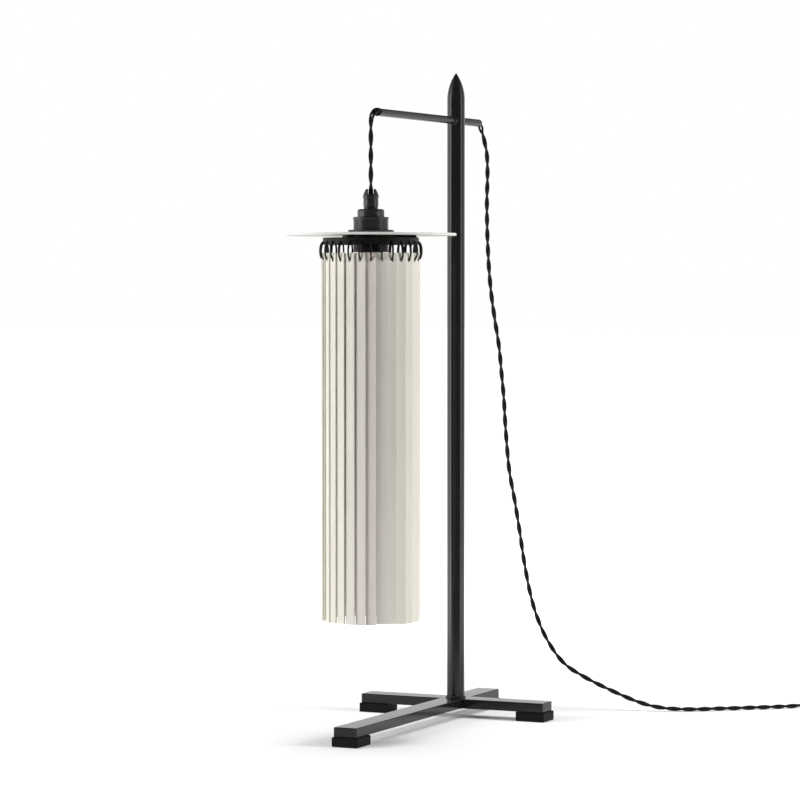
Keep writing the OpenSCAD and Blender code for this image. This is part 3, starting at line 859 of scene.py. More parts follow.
@dataclass
class Lead:
    """The free lead: down from the arm's back end, over the floor, and away in a tied coil."""

    flex_d: float = 0.0053
    arm_end: float = 0.0646
    join_in: float = 0.0032
    bend_r: float = 0.0106
    coil_x: float = 0.380
    coil_y: float = POLE_Y + 0.262
    coil_r: float = 0.0346
    coil_step: float = 0.0058
    coil_layer: float = 0.00575
    coil_z: float = 0.00355
    turns: int = 2
    fall: float = 0.014
    plug_z: float = 0.007
    plug_half: float = 0.0175
    plug_face: float = 0.058
    plug_neck: float = 0.022
    plug_waist: float = 0.034
    pin_side: float = 0.0095
    tie_half: float = 0.003
    tie_wall: float = 0.0008
    tie_room: float = 0.0003
    tie_slack: float = 0.0004

    ROUTE = [
        (1.7, 72.2, 665), (3.1, 72.2, 660), (5, 72.1, 652), (6.6, 72, 645), (7.6, 72, 630), (7.8, 71.6, 612),
        (7.5, 71, 595), (7.5, 71, 570), (8.4, 71, 540), (9.7, 72, 510), (12.3, 73, 480), (16.5, 74, 450),
        (20.7, 76, 420), (23.4, 77, 390), (26, 78, 360), (27.5, 78, 335), (29.5, 79, 305), (32.4, 80, 275),
        (38.5, 82, 240), (43.9, 84, 204), (48.6, 86, 170), (55.1, 88, 135), (62.3, 91, 108), (73.6, 95, 81),
        (91.1, 101, 55), (114.5, 110, 38), (145.3, 121, 22), (176, 129, 9.5), (201, 134.5, 4.2),
        (229, 145.5, 2.7), (258, 166, 2.7), (284, 186, 2.7), (309, 206, 2.7), (330, 226, 2.7),
        (341, 239, 3.55),
    ]

    def coil_point(self, turn: float) -> Vector:
        """Follows the coil's centreline: in, up a layer, and out again.

        Args:
            turn: Number of turns from its start.

        Returns:
            The point there.
        """
        middle = self.turns + 0.25
        shrink = turn if turn <= middle else 2 * middle - turn
        radius = self.coil_r - self.coil_step * shrink
        rise = min(max((turn - self.turns) * 2, 0.0), 1.0)
        angle = 2 * math.pi * turn
        return Vector((self.coil_x - radius * math.cos(angle), self.coil_y + radius * math.sin(angle),
                       self.coil_z + self.coil_layer * rise * rise * (3 - 2 * rise)))

    def centreline(self) -> list[Vector]:
        """Lays out the whole lead, from inside the arm to the plug.

        Returns:
            Its centreline.
        """
        root = Vector((0.0, POLE_Y + self.arm_end - self.join_in, ARM_Z))
        free = [root - Vector((0, s * MM, 0)) for s in (2, 1)]
        for degrees in range(0, 76, 15):
            a = math.radians(degrees)
            free.append(root + self.bend_r * Vector((0, math.sin(a), math.cos(a) - 1)))
        free += [Vector((x * MM, POLE_Y + y * MM, z * MM)) for x, y, z in self.ROUTE]
        entry = Vector((self.coil_x - self.coil_r, self.coil_y - self.flex_d, self.coil_z))
        free += [entry - Vector((0, s * self.flex_d, 0)) for s in (1.5, 0.75, 0)]
        line = smooth_route(free, 12)
        last = 2 * self.turns + 0.5
        count = round(last * 96)
        line += [self.coil_point(last * i / count) for i in range(count + 1)]
        away = self.coil_point(last)
        bend = [away, away - Vector((0, self.flex_d, 0))]
        bend.append(Vector((away.x, away.y - self.flex_d - self.fall, self.plug_z)))
        bend.append(bend[-1] - Vector((0, self.flex_d, 0)))
        return line + smooth_route(bend, 8)[1:]

    def tie(self) -> Thing:
        """Builds the flat band that holds the coil's turns together.

        Returns:
            The band.
        """
        room = self.flex_d / 2 + self.tie_room
        inner, outer = (self.coil_r - self.coil_step * (turn + 0.75) + side * room
                        for turn, side in ((self.turns - 1, -1), (0, 1)))
        high = self.coil_layer + self.flex_d + self.tie_slack
        x, y, wall = self.coil_x, self.coil_y, self.tie_wall
        band = block("coil_band", (x - self.tie_half, y - outer - wall, 0.0),
                     (x + self.tie_half, y - inner + wall, high + 2 * wall), 0.0)
        cut(band, block("band_hollow", (x - 0.01, y - outer, wall), (x + 0.01, y - inner, high + wall), 0.0))
        modify(band, "BEVEL", width=0.00025, segments=2, limit_method="ANGLE")
        return smooth(band)

    def plug(self) -> tuple[Thing, Thing]:
        """Builds the flat plug with its ribbed strain relief, and its two pins.

        Returns:
            The moulding and the pins.
        """
        x = self.coil_x + self.coil_r
        y = self.coil_y - 2 * self.flex_d - self.fall
        face, neck, waist = y - self.plug_face, y - self.plug_neck, y - self.plug_waist
        shell = block("plug_shell", (x - self.plug_half, face, 0.0),
                      (x + self.plug_half, neck, 2 * self.plug_z), 0.0)
        edit(shell, False)
        pick(shell, lambda co: co.y > y - 0.03)
        bpy.ops.transform.resize(value=(0.42, 1.0, 0.9), center_override=(x, neck, self.plug_z))
        edit(shell)
        bpy.ops.mesh.bisect(plane_co=(x, waist, self.plug_z), plane_no=(0, 1, 0), use_fill=False)
        pick(shell, lambda co: abs(co.y - waist) < 0.0005)
        bpy.ops.transform.resize(value=(1.36, 1.0, 1.03), center_override=(x, waist, self.plug_z))
        clear()
        modify(shell, "BEVEL", width=0.0032, segments=4, limit_method="ANGLE", angle_limit=0.4)
        reach = 22.0
        ribs: list[Pair] = [(2.75, 0.0), (3.5, 0.0)]
        for i in range(7):
            z = 1.4 + i * 2.6
            wide = 3.5 + 2.0 * z / reach
            ribs += [(wide, z), (wide, z + 1.5), (wide - 0.8, z + 1.7), (wide - 0.8, z + 2.4)]
        ribs += [(5.6, 20.2), (6.0, reach + 2.0), (0.0, reach + 2.0)]
        relief = turned("plug_relief", ribs, (x, y, self.plug_z), Axis.FRONT, 32)
        body = smooth(join("plug_moulding", [shell, relief]), 30.0)
        pin = [(0, 0), (2, 0), (2, 17.6), (1.6, 18.6), (1.0, 19), (0, 19)]
        pins = [turned(f"pin_{side}", pin, (x + side * self.pin_side, face, self.plug_z), Axis.FRONT, 24)
                for side in (-1, 1)]
        return body, join("plug_pin_pair", pins)

    def build(self) -> None:
        route = self.centreline()
        flex = TwistedFlex("lead_flex", route, node_at=0.0209, pitch=0.036, slack=(0.0126, 0.12),
                           side=(0.9065, 0.0, 0.4222), opening=(0.0146, 0.006, 0.4)).build()
        hand_over(flex, FLEX_BLACK, Body.STAND, "rear_flex", "cord_coil")
        band = hand_over(self.tie(), PLUG_BLACK, Body.STAND, "coil_tie")
        body, pins = self.plug()
        hand_over(body, PLUG_BLACK, Body.STAND, "plug_body")
        hand_over(pins, NICKEL, Body.STAND, "plug_pins")
        [tuple(p) for p in even_route(route, 0.004)]
        log.info("lead: %.3f m", route_length(route))


@dataclass
class HangingFlex:
    """The flex in the arm, over its front end and down to the lampholder."""

    front_y: float = POLE_Y - 0.202
    drop: float = 0.0105
    link: float = 0.010
    foot_z: float = 0.577
    out: float = 0.0225
    rise: float = 0.0027
    lip: float = 0.003
    back: float = 0.0594
    node_z: float = 0.6402
    wide_z: float = 0.670
    pitch: float = 0.0398
    sleeve_r: float = 0.0036
    sleeve_steps: int = 24

    def turn_over(self, t: float) -> Vector:
        """Follows the bend over the arm's end.

        Args:
            t: Share of the bend, from 0 to 1.

        Returns:
            The point there.
        """
        a = Vector((0, self.lip, 0.0002))
        b = Vector((0, -2.8 * self.lip, self.rise))
        c = Vector((0, -self.out, 0.55 * self.rise))
        d = Vector((0, -self.out, 0.001 - self.drop - self.link / 2))
        u = 1 - t
        bend = u ** 3 * a + 3 * u * u * t * b + 3 * u * t * t * c + t ** 3 * d
        return bend + Vector((0, self.front_y, ARM_Z))

    def sleeve(self) -> Thing:
        """Builds the soft sleeve that guards the flex at the arm's mouth, tapering along its bend.

        Returns:
            The sleeve.
        """
        data = bpy.data.curves.new("mouth_sleeve", "CURVE")
        data.dimensions = "3D"
        data.bevel_depth = self.sleeve_r
        data.bevel_resolution = 6
        data.use_fill_caps = True
        line = data.splines.new("POLY")
        line.points.add(self.sleeve_steps - 1)
        for i, point in enumerate(line.points):
            share = i / (self.sleeve_steps - 1)
            point.co = (*self.turn_over(0.05 + 0.55 * share), 1.0)
            point.radius = 0.9 + 0.6 * share - 0.72 * share ** 2
        line.points[-1].radius *= 0.92
        take(placed("mouth_sleeve", data))
        bpy.ops.object.convert(target="MESH")
        sleeve = bpy.context.object
        outward(sleeve)
        return smooth(settle(sleeve, "mouth_sleeve"), 50.0)

    def build(self) -> None:
        """Builds the flex in two pieces that meet in the middle of the link between the hinges."""
        pivot, second = ARM_Z - self.drop, ARM_Z - self.drop - self.link
        split = ARM_Z - self.drop - self.link / 2
        line = [Vector((0, POLE_Y + self.back, ARM_Z)), Vector((0, self.front_y + 2 * self.lip, ARM_Z))]
        line = even_route(line, 0.004) + [self.turn_over(i / 40) for i in range(41)]
        line.append(Vector((0, SHADE_Y, split)))
        over = route_length(line)
        sleeve = self.sleeve()
        below = even_route([Vector((0, SHADE_Y, split)), Vector((0, SHADE_Y, self.foot_z))], 0.002)
        wide = over - (self.wide_z - split)
        upper = TwistedFlex("flex_over_arm", line, node_at=over + (split - self.node_z), pitch=self.pitch,
                            slack=(wide, 0.112), side=(0.9065, 0.0, -0.4222),
                            opening=(wide - 0.0065, 0.005, 0.3)).build()
        lower = TwistedFlex("flex_hanging", below, node_at=split - self.node_z, pitch=self.pitch).build()
        hand_over(upper, FLEX_BLACK, None, "arm_flex", "flex_link")
        hand_over(lower, FLEX_BLACK, None, "pendant_flex")
        hand_over(sleeve, SLEEVE_BLACK, Body.STAND)
        for flex, above, under, z in ((upper, Body.STAND, Body.LINK, pivot),
                                      (lower, Body.LINK, Body.PENDANT, second)):
            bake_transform(flex)


# Stand


@dataclass
class Post:
    """The post tube and its pointed tip."""

    radius: float = 10.0
    wall: float = 1.6
    foot: float = 21.1
    top: float = 701.0
    tip: float = 31.0
    tip_steps: int = 28
    tip_root: float = 8.0
    sides: int = 96

    def build(self) -> None:
        """Turns the tube and the tip, and hands both over."""
        at = (0.0, POLE_Y, 0.0)
        bore, edge, top = self.radius - self.wall, self.radius, self.top
        ring = [(bore, self.foot), (edge, self.foot), (edge, top), (bore, top), (bore, self.foot)]
        tube = turned("post_tube", ring, at, sides=self.sides)
        hand_over(tube, SATIN_BLACK, Body.STAND, "pole_tube")
        arch = (edge ** 2 + self.tip ** 2) / (2 * edge)
        root, root_r = top - self.tip_root, bore - 0.1
        outline: list[Pair] = [(0, root), (root_r, root), (root_r, top), (edge, top)]
        for i in range(1, self.tip_steps + 1):
            z = (self.tip - 0.25) * i / self.tip_steps
            outline.append((edge - arch + math.sqrt(arch ** 2 - z ** 2) + 0.004 * i, top + z))
        outline += [(0.35, top + self.tip - 0.1), (0, top + self.tip)]
        tip = turned("post_tip", outline, at, sides=self.sides)
        hand_over(tip, TIP_BLACK, Body.STAND, "pole_tip")


@dataclass
class Arm:
    """The thin arm through the post, with its bush and weld beads."""

    radius: float = 4.25
    wall: float = 0.9
    front: float = 202.0
    rear: float = 64.6
    lip: float = 7.5
    bead_r: float = 4.7
    bead_wire: float = 1.05
    bead_seat: float = 10.1
    foot_r: float = 10.3
    foot_wire: float = 1.3
    foot_z: float = 21.2

    def mouth(self, piece: Thing, ahead: float) -> None:
        """Cuts the front end of a piece on the slant, its lower lip foremost.

        Args:
            piece: The piece to cut.
            ahead: How far the cut lies ahead of the tube's own, in millimetres.
        """
        tool = block("mouth_cut", (-0.02, -0.04, -0.03), (0.02, 0.0, 0.03), 0.0)
        tool.data.transform(Matrix.Translation((0, POLE_Y - (self.front + self.lip / 2 + ahead) * MM, ARM_Z))
                            @ Matrix.Rotation(-math.atan2(self.lip, 2 * self.radius), 4, "X"))
        cut(piece, tool)

    def tube(self) -> Thing:
        """Turns the arm tube, open at both ends, and cuts its mouth.

        Returns:
            The tube.
        """
        ahead = self.lip + 2.0
        at = (0.0, POLE_Y - (self.front + ahead) * MM, ARM_Z)
        reach = self.front + self.rear + ahead
        inner, outer = self.radius - self.wall, self.radius
        outline = [(inner, 0), (outer, 0), (outer, reach - 0.3), (outer - 0.1, reach - 0.1),
                   (outer - 0.3, reach), (inner + 0.2, reach), (inner, reach - 0.2), (inner, 0)]
        tube = turned("arm_bar", outline, at, Axis.BACK, 64)
        self.mouth(tube, 0.0)
        return smooth(tube, 40.0)

    def bead(self, side: int) -> Thing:
        """Builds a weld bead where the arm meets the post.

        Args:
            side: -1 at the post's front, 1 at its back.

        Returns:
            The bead.
        """
        clear()
        bpy.ops.mesh.primitive_torus_add(major_radius=self.bead_r * MM, minor_radius=self.bead_wire * MM,
                                         major_segments=64, minor_segments=12, rotation=(math.pi / 2, 0, 0))
        bead = settle(bpy.context.object, f"bead_{side}")
        for vert in bead.data.vertices:
            co = vert.co
            swell = noise.noise(co * 700.0 + Vector((side * 9.0, 3.0, 1.0)))
            co += Vector((co.x, 0.0, co.z)) * 0.16 * swell
            reach = math.sqrt(max((self.bead_seat * MM) ** 2 - co.x ** 2, 0.0))
            vert.co = (co.x, POLE_Y + side * (reach + 0.0001) + co.y, ARM_Z + co.z)
        return bead

    def foot_bead(self) -> Thing:
        """Builds the weld bead round the foot of the post.

        Returns:
            The bead.
        """
        radius, floor = self.foot_r * MM, self.foot_z * MM
        clear()
        bpy.ops.mesh.primitive_torus_add(major_radius=radius, minor_radius=self.foot_wire * MM,
                                         major_segments=96, minor_segments=12)
        bead = settle(bpy.context.object, "bead_foot")
        for vert in bead.data.vertices:
            co = vert.co
            lump = 1.0 + 0.3 * noise.noise(co * 420.0)
            flat = Vector((co.x, co.y, 0)).normalized() * radius
            off = (co - flat) * lump
            vert.co = Vector((flat.x + off.x, POLE_Y + flat.y + off.y, floor + max(off.z + 0.0003, 0.0)))
        return bead

    def build(self) -> None:
        """Builds the arm's pieces and hands them over."""
        hand_over(self.tube(), ARM_BLACK, Body.STAND, "arm_tube")
        bush = turned("arm_mouth_bush", [(2.8, -12), (3.32, -12), (3.32, 6), (2.8, 6), (2.8, -12)],
                      (0.0, POLE_Y - self.front * MM, ARM_Z), Axis.BACK, 48)
        self.mouth(bush, 0.8)
        hand_over(smooth(bush, 40.0), SLEEVE_BLACK, Body.STAND, "arm_front_bush")
        beads = join("weld_seams", [self.foot_bead(), self.bead(-1), self.bead(1)])
        hand_over(smooth(beads, 60.0), WELD_BLACK, Body.STAND, "weld_beads")


@dataclass
class Foot:
    """The cross foot: two half-lapped bars on four pads."""

    width: float = 0.027
    low: float = 0.0105
    high: float = 0.0211
    front: float = 0.289
    back: float = 0.0935
    side: float = 0.113
    pad_long: float = 0.0346
    pad_wide: float = 0.0304
    pad_over: float = 0.002
    edge: float = 0.0009
    lap_ease: float = 0.00005

    def bar(self, name: str, low: Place, high: Place, *lap: Place) -> Thing:
        """Builds one bar from its corners, with the other bar's lap cut out of it.

        Args:
            name: The bar's name.
            low: Lowest corner.
            high: Highest corner.
            *lap: Lowest and highest corner of the cut.

        Returns:
            The finished bar.
        """
        bar = block(name, low, high, self.edge)
        cut(bar, block("lap", *lap, 0.0))
        return smooth(bar, 30.0)

    def bars(self) -> tuple[Thing, Thing]:
        """Builds the two bars, halved where they cross.

        Returns:
            The long bar and the cross bar.
        """
        w, lap = self.width / 2, (self.low + self.high) / 2
        y, low, high = POLE_Y, self.low, self.high
        loose, wide = w + self.lap_ease, 0.03
        long_bar = self.bar("long_leg_bar", (-w, y - self.front, low), (w, y + self.back, high),
                            (-wide, y - loose, lap), (wide, y + loose, 0.04))
        cross = self.bar("cross_leg_bar", (-self.side, y - w, low), (self.side, y + w, high),
                         (-loose, y - wide, 0.0), (loose, y + wide, lap))
        return long_bar, cross

    def pads(self) -> Thing:
        """Builds the four pads, with softly rounded edges and a screw recess beneath.

        Returns:
            The pads as one piece.
        """
        half_l, half_w, over = self.pad_long / 2, self.pad_wide / 2, self.pad_over
        middles = [((0.0, POLE_Y - self.front - over + half_l), (half_w, half_l)),
                   ((0.0, POLE_Y + self.back + over - half_l), (half_w, half_l)),
                   ((self.side + over - half_l, POLE_Y), (half_l, half_w)),
                   ((-self.side - over + half_l, POLE_Y), (half_l, half_w))]
        parts = []
        for i, ((x, y), (dx, dy)) in enumerate(middles):
            pad = block(f"pad_{i}", (x - dx, y - dy, 0.0), (x + dx, y + dy, self.low), 0.0012, 4)
            recess = turned("recess", [(0, -2), (3.7, -2), (3.7, 4.2), (0, 4.2)], (x, y, 0.0), sides=32)
            cut(pad, recess)
            parts.append(pad)
        return smooth(join("foot_pad_set", parts), 30.0)

    def build(self) -> None:
        """Builds the foot and hands it over."""
        long_bar, cross = self.bars()
        hand_over(long_bar, BAR_BLACK, Body.STAND, "base_long_bar")
        hand_over(cross, BAR_BLACK, Body.STAND, "base_cross_bar")
        hand_over(self.pads(), PAD_BLACK, Body.STAND, "foot_pads")


# Shade


def ribbed(profile: Profile, outer: float, low: float, high: float, pitch: float, depth: float) -> Profile:
    """Returns a profile with fine ridges added at its end, like the turns of a screw thread.

    Args:
        profile: The profile so far.
        outer: Radius over the ridges.
        low: Height at which the ridges end.
        high: Height at which they start, above low.
        pitch: Distance from ridge to ridge.
        depth: Depth of the grooves.

    Returns:
        The longer profile.
    """
    out = list(profile)
    count = int((high - low) / pitch)
    for i in range(count):
        z = high - i * pitch
        out += [(outer, z), (outer, z - pitch * 0.45)]
        out += [(outer - depth, z - pitch * 0.6), (outer - depth, z - pitch * 0.85)]
    return out


@dataclass
class Lampholder:
    """The black lampholder: cord grip, cap, threaded body and two clamp rings."""

    grip_top: float = 594.8
    cap_top: float = 573.2
    top: float = 564.7
    foot: float = 527.0
    radius: float = 18.9
    bore: float = 15.2
    disc_top: float = 546.9
    ring_top: float = 542.7

    def grip(self) -> Thing:
        """Turns the cord grip and cuts the slot that leaves its two lugs.

        Returns:
            The cord grip.
        """
        top = self.grip_top
        outline = [(2.8, 569), (4.9, 569), (4.9, 573.2), (7.4, 573.2), (7.6, 573.6), (7.6, 574.8),
                   (7.2, 575.2), (7.9, 575.6), (8.1, 576.2), (8.1, 583.6), (7.8, 584.4), (8.4, 584.9),
                   (8.7, 585.6), (8.7, 586.6), (8.3, 588.2), (7.6, 590.2), (6.6, 592.4), (5.6, 594.2),
                   (5.0, top), (4.2, top), (3.4, 593.0), (2.8, 592.0), (2.8, 569)]
        grip = turned("grip_dome", outline, (0, SHADE_Y, 0), sides=64)
        slot = block("slot", (-0.003, SHADE_Y - 0.02, 0.5892), (0.003, SHADE_Y + 0.02, 0.6), 0.0)
        slot.data.transform(Matrix.Translation((0, SHADE_Y, 0)) @ turn_about("Z", 25)
                            @ Matrix.Translation((0, -SHADE_Y, 0)))
        cut(grip, slot)
        return smooth(grip, 32.0)

    def cap(self) -> Thing:
        """Turns the cap, with a softly rounded shoulder and a shallow ring on its top.

        Returns:
            The cap.
        """
        foot, top = self.top, self.cap_top
        outline = [(12.4, foot), (14.3, foot), (14.45, foot + 0.2), (14.45, 570.9), (14.2, 571.9),
                   (13.5, 572.7), (12.6, 573.05), (11.6, top), (9.6, top), (9.2, 572.9), (8.8, top),
                   (4.95, top), (4.95, 571.2), (12.4, 571.2), (12.4, foot)]
        return turned("holder_dome", outline, (0, SHADE_Y, 0), sides=80)

    def body(self) -> Thing:
        """Turns the body: a rim, a fine thread and a plain skirt.

        Returns:
            The body.
        """
        edge, top, foot, bore, floor = self.radius, self.top, self.foot, self.bore, 558.0
        outline: Profile = [(8.0, floor), (8.0, top), (edge - 0.1, top), (edge + 0.35, top - 0.35),
                            (edge + 0.4, top - 0.8), (edge + 0.4, top - 2.1), (edge + 0.2, top - 2.6),
                            (edge - 0.5, top - 2.8), (edge - 0.5, top - 3.4)]
        outline = ribbed(outline, edge, 530.0, top - 3.6, 1.9, 0.45)
        outline += [(edge - 0.1, 529.6), (edge - 0.1, foot + 0.5), (edge - 0.5, foot), (bore + 0.3, foot),
                    (bore, foot + 0.3), (bore, floor), (8.0, floor)]
        return turned("holder_barrel", outline, (0, SHADE_Y, 0), sides=96)

    def rings(self) -> Thing:
        """Turns the two clamp rings.

        Returns:
            The rings as one piece.
        """
        inner, z, below = self.radius + 0.05, self.disc_top, self.ring_top
        upper = [(inner, z), (24.5, z), (24.7, z + 0.25), (24.7, z + 3.3), (24.3, z + 3.8), (23.2, z + 4.0),
                 (20.2, z + 4.0), (inner, z + 4.0), (inner, z)]
        lower = [(inner, below), (22.2, below), (22.5, below - 0.4), (22.5, below - 3.4),
                 (22.0, below - 4.0), (inner, below - 4.0), (inner, below)]
        return join("clamp_ring_pair", [turned(name, outline, (0, SHADE_Y, 0), sides=96)
                                        for name, outline in (("ring_a", upper), ("ring_b", lower))])

    def build(self) -> None:
        """Builds the lampholder and hands it over."""
        for piece, node in ((self.grip(), "cord_grip"), (self.cap(), "holder_cap"),
                            (self.body(), "holder_body"), (self.rings(), "clamp_rings")):
            hand_over(piece, HOLDER_BLACK, Body.SHADE, node)


@dataclass
class Bulb:
    """The opal bulb and its screw cap."""

    centre_z: float = 473.1
    radius: float = 30.0
    neck_z: float = 524.1
    cap_top: float = 548.1

    def build(self) -> None:
        """Turns the glass and the threaded cap, and hands them over."""
        at = (0, SHADE_Y, 0)
        r, z, neck, top = self.radius, self.centre_z, self.neck_z, self.cap_top
        glass = [(r * math.cos(a), z + r * math.sin(a)) for a in map(math.radians, range(-90, 46, 5))]
        glass += [(18.2, z + 25.0), (15.6, z + 30.0), (13.9, z + 36.0), (12.9, z + 42.0), (12.35, z + 47.0),
                  (12.3, neck + 8.0), (0, neck + 8.0)]
        hand_over(turned("bulb_envelope", glass, at, sides=72), OPAL, Body.SHADE, "bulb_glass")
        cap: Profile = [(0, top), (3.4, top), (3.6, top - 0.5), (5.0, top - 0.6), (11.6, top - 2.6),
                        (12.6, top - 3.4)]
        cap = ribbed(cap, 13.1, neck + 3.0, top - 4.0, 2.9, 0.75)
        cap += [(12.7, neck + 1.8), (12.7, neck), (12.35, neck), (12.35, neck + 6.0), (0, neck + 6.0)]
        hand_over(turned("bulb_screw", cap, at, sides=72), ALUMINIUM, Body.SHADE, "bulb_cap")


@dataclass
class Shade:
    """The pale disc, the hooks and the 28 slats."""

    ring_r: float = 0.051
    hook_low: float = 0.51875
    hook_half: float = 0.0039
    wire_r: float = 0.00095
    hook_high: float = 0.53785
    slat_w: float = 0.0112
    slat_t: float = 0.002
    slat_top: float = 0.52598
    slat_len: float = 0.396
    hole_z: float = 0.51808
    hole_r: float = 0.0019
    edge: float = 0.00042
    yaw: float = 9.8
    yaw_spread: float = 1.5
    tilt_spread: float = 0.045
    hook_spread: float = 13.0
    foot_spread: float = 0.0006
    seed: int = 28

    CLAYS = (SLAT_PALE, SLAT_ROSE, SLAT_DUSK, SLAT_ROSE, SLAT_PALE, SLAT_PALE, SLAT_PALE, SLAT_CREAM,
             SLAT_PALE)
    MORE_YAW = (2.0, 4.0, 5.0, 0.0, 0.0, 4.5, 2.0, 0.0, 0.0)

    def disc(self) -> Thing:
        """Turns the flat disc with its rounded rim.

        Returns:
            The disc.
        """
        low, high, bore, edge = 545.3, 546.9, 19.0, 92.0
        outline = [(bore, low), (90.4, low), (90.7, low - 0.4), (91.4, low - 0.6), (91.85, low - 0.4),
                   (edge, low), (edge, high), (91.8, high + 0.3), (91.2, high + 0.4), (90.5, high),
                   (bore, high), (bore, low)]
        return turned("pale_disc", outline, (0, SHADE_Y, 0), sides=160)

    def hook(self) -> Thing:
        """Bends one oval hook in the X-Z plane, its lowest wire's middle at the origin.

        Returns:
            The hook.
        """
        half_h = (self.hook_high - self.hook_low) / 2
        clear()
        bpy.ops.curve.primitive_bezier_circle_add(radius=1.0, rotation=(math.pi / 2, 0, 0),
                                                  location=(0, 0, half_h))
        wire = bpy.context.object
        wire.scale = (self.hook_half, half_h, 1.0)
        bpy.ops.object.transform_apply(location=True, rotation=True, scale=True)
        for point in wire.data.splines[0].bezier_points:
            point.radius = 1.0
        wire.data.resolution_u = 9
        wire.data.bevel_depth = self.wire_r
        wire.data.bevel_resolution = 2
        take(wire)
        bpy.ops.object.convert(target="MESH")
        return settle(bpy.context.object, "hook")

    def slat(self) -> Thing:
        """Builds one slat, facing +X, its wire's middle at the origin.

        Returns:
            The slat.
        """
        top = self.slat_top - self.hook_low
        half_t, half_w = self.slat_t / 2, self.slat_w / 2
        slat = block("slat", (-half_t, -half_w, top - self.slat_len), (half_t, half_w, top), self.edge)
        drill = turned("slat_drill", [(0, -3), (self.hole_r / MM, -3), (self.hole_r / MM, 3), (0, 3)],
                       (0, 0, 0), sides=28)
        drill.data.transform(Matrix.Translation((0, 0, self.hole_z - self.hook_low)) @ turn_about("Y", 90))
        cut(slat, drill)
        return smooth(slat, 32.0)

    def build(self) -> None:
        """Builds the shade and hands it over."""
        hand_over(self.disc(), DISC_PALE, Body.SHADE, "shade_disc")
        chance = random.Random(self.seed)
        hook, slat = self.hook(), self.slat()
        hooks = []
        for i in range(SLATS):
            out = Matrix.Translation((0, SHADE_Y, 0)) @ turn_about("Z", 360 * i / SLATS - 90)
            out = out @ Matrix.Translation((self.ring_r, 0, self.hook_low))
            lean = turn_about("Z", chance.uniform(-self.hook_spread, self.hook_spread))
            hooks.append(copy(hook, f"hook_{i + 1:02d}", out @ lean))
            more, clay = self.MORE_YAW[i % len(self.MORE_YAW)], self.CLAYS[i % len(self.CLAYS)]
            yaw = turn_about("Z", -self.yaw - more + chance.uniform(-self.yaw_spread, self.yaw_spread))
            tilt = turn_about("X", chance.uniform(-self.tilt_spread, self.tilt_spread))
            piece = copy(slat, f"pale_slat_{i + 1:02d}", out @ tilt @ yaw)
            uneven = chance.uniform(-self.foot_spread, self.foot_spread)
            for vert in piece.data.vertices:
                if vert.co.z < self.hook_low - self.slat_len / 2:
                    vert.co.z += uneven
            hand_over(piece, clay, f"slat_{i + 1:02d}_body", f"slat_{i + 1:02d}")
        for spent in (hook, slat):
            bpy.data.objects.remove(spent, do_unlink=True)
        hand_over(smooth(join("hook_set", hooks), 60.0), WIRE_BLACK, Body.SHADE, "slat_hooks")


def dress_solids() -> None:
    """Gives every solid of the frame the finish of its material slot."""
    slots = {part["node"]: part["material_slot"] for part in frame["record"]["subparts"]}
    for name, obj in frame["nodes"].items():
        finish = WIRE_BLACK if name == "slat_carrier" else PLAIN[slots[name]]
        obj.data.materials.clear()
        obj.data.materials.append(finish.material())


# Studio


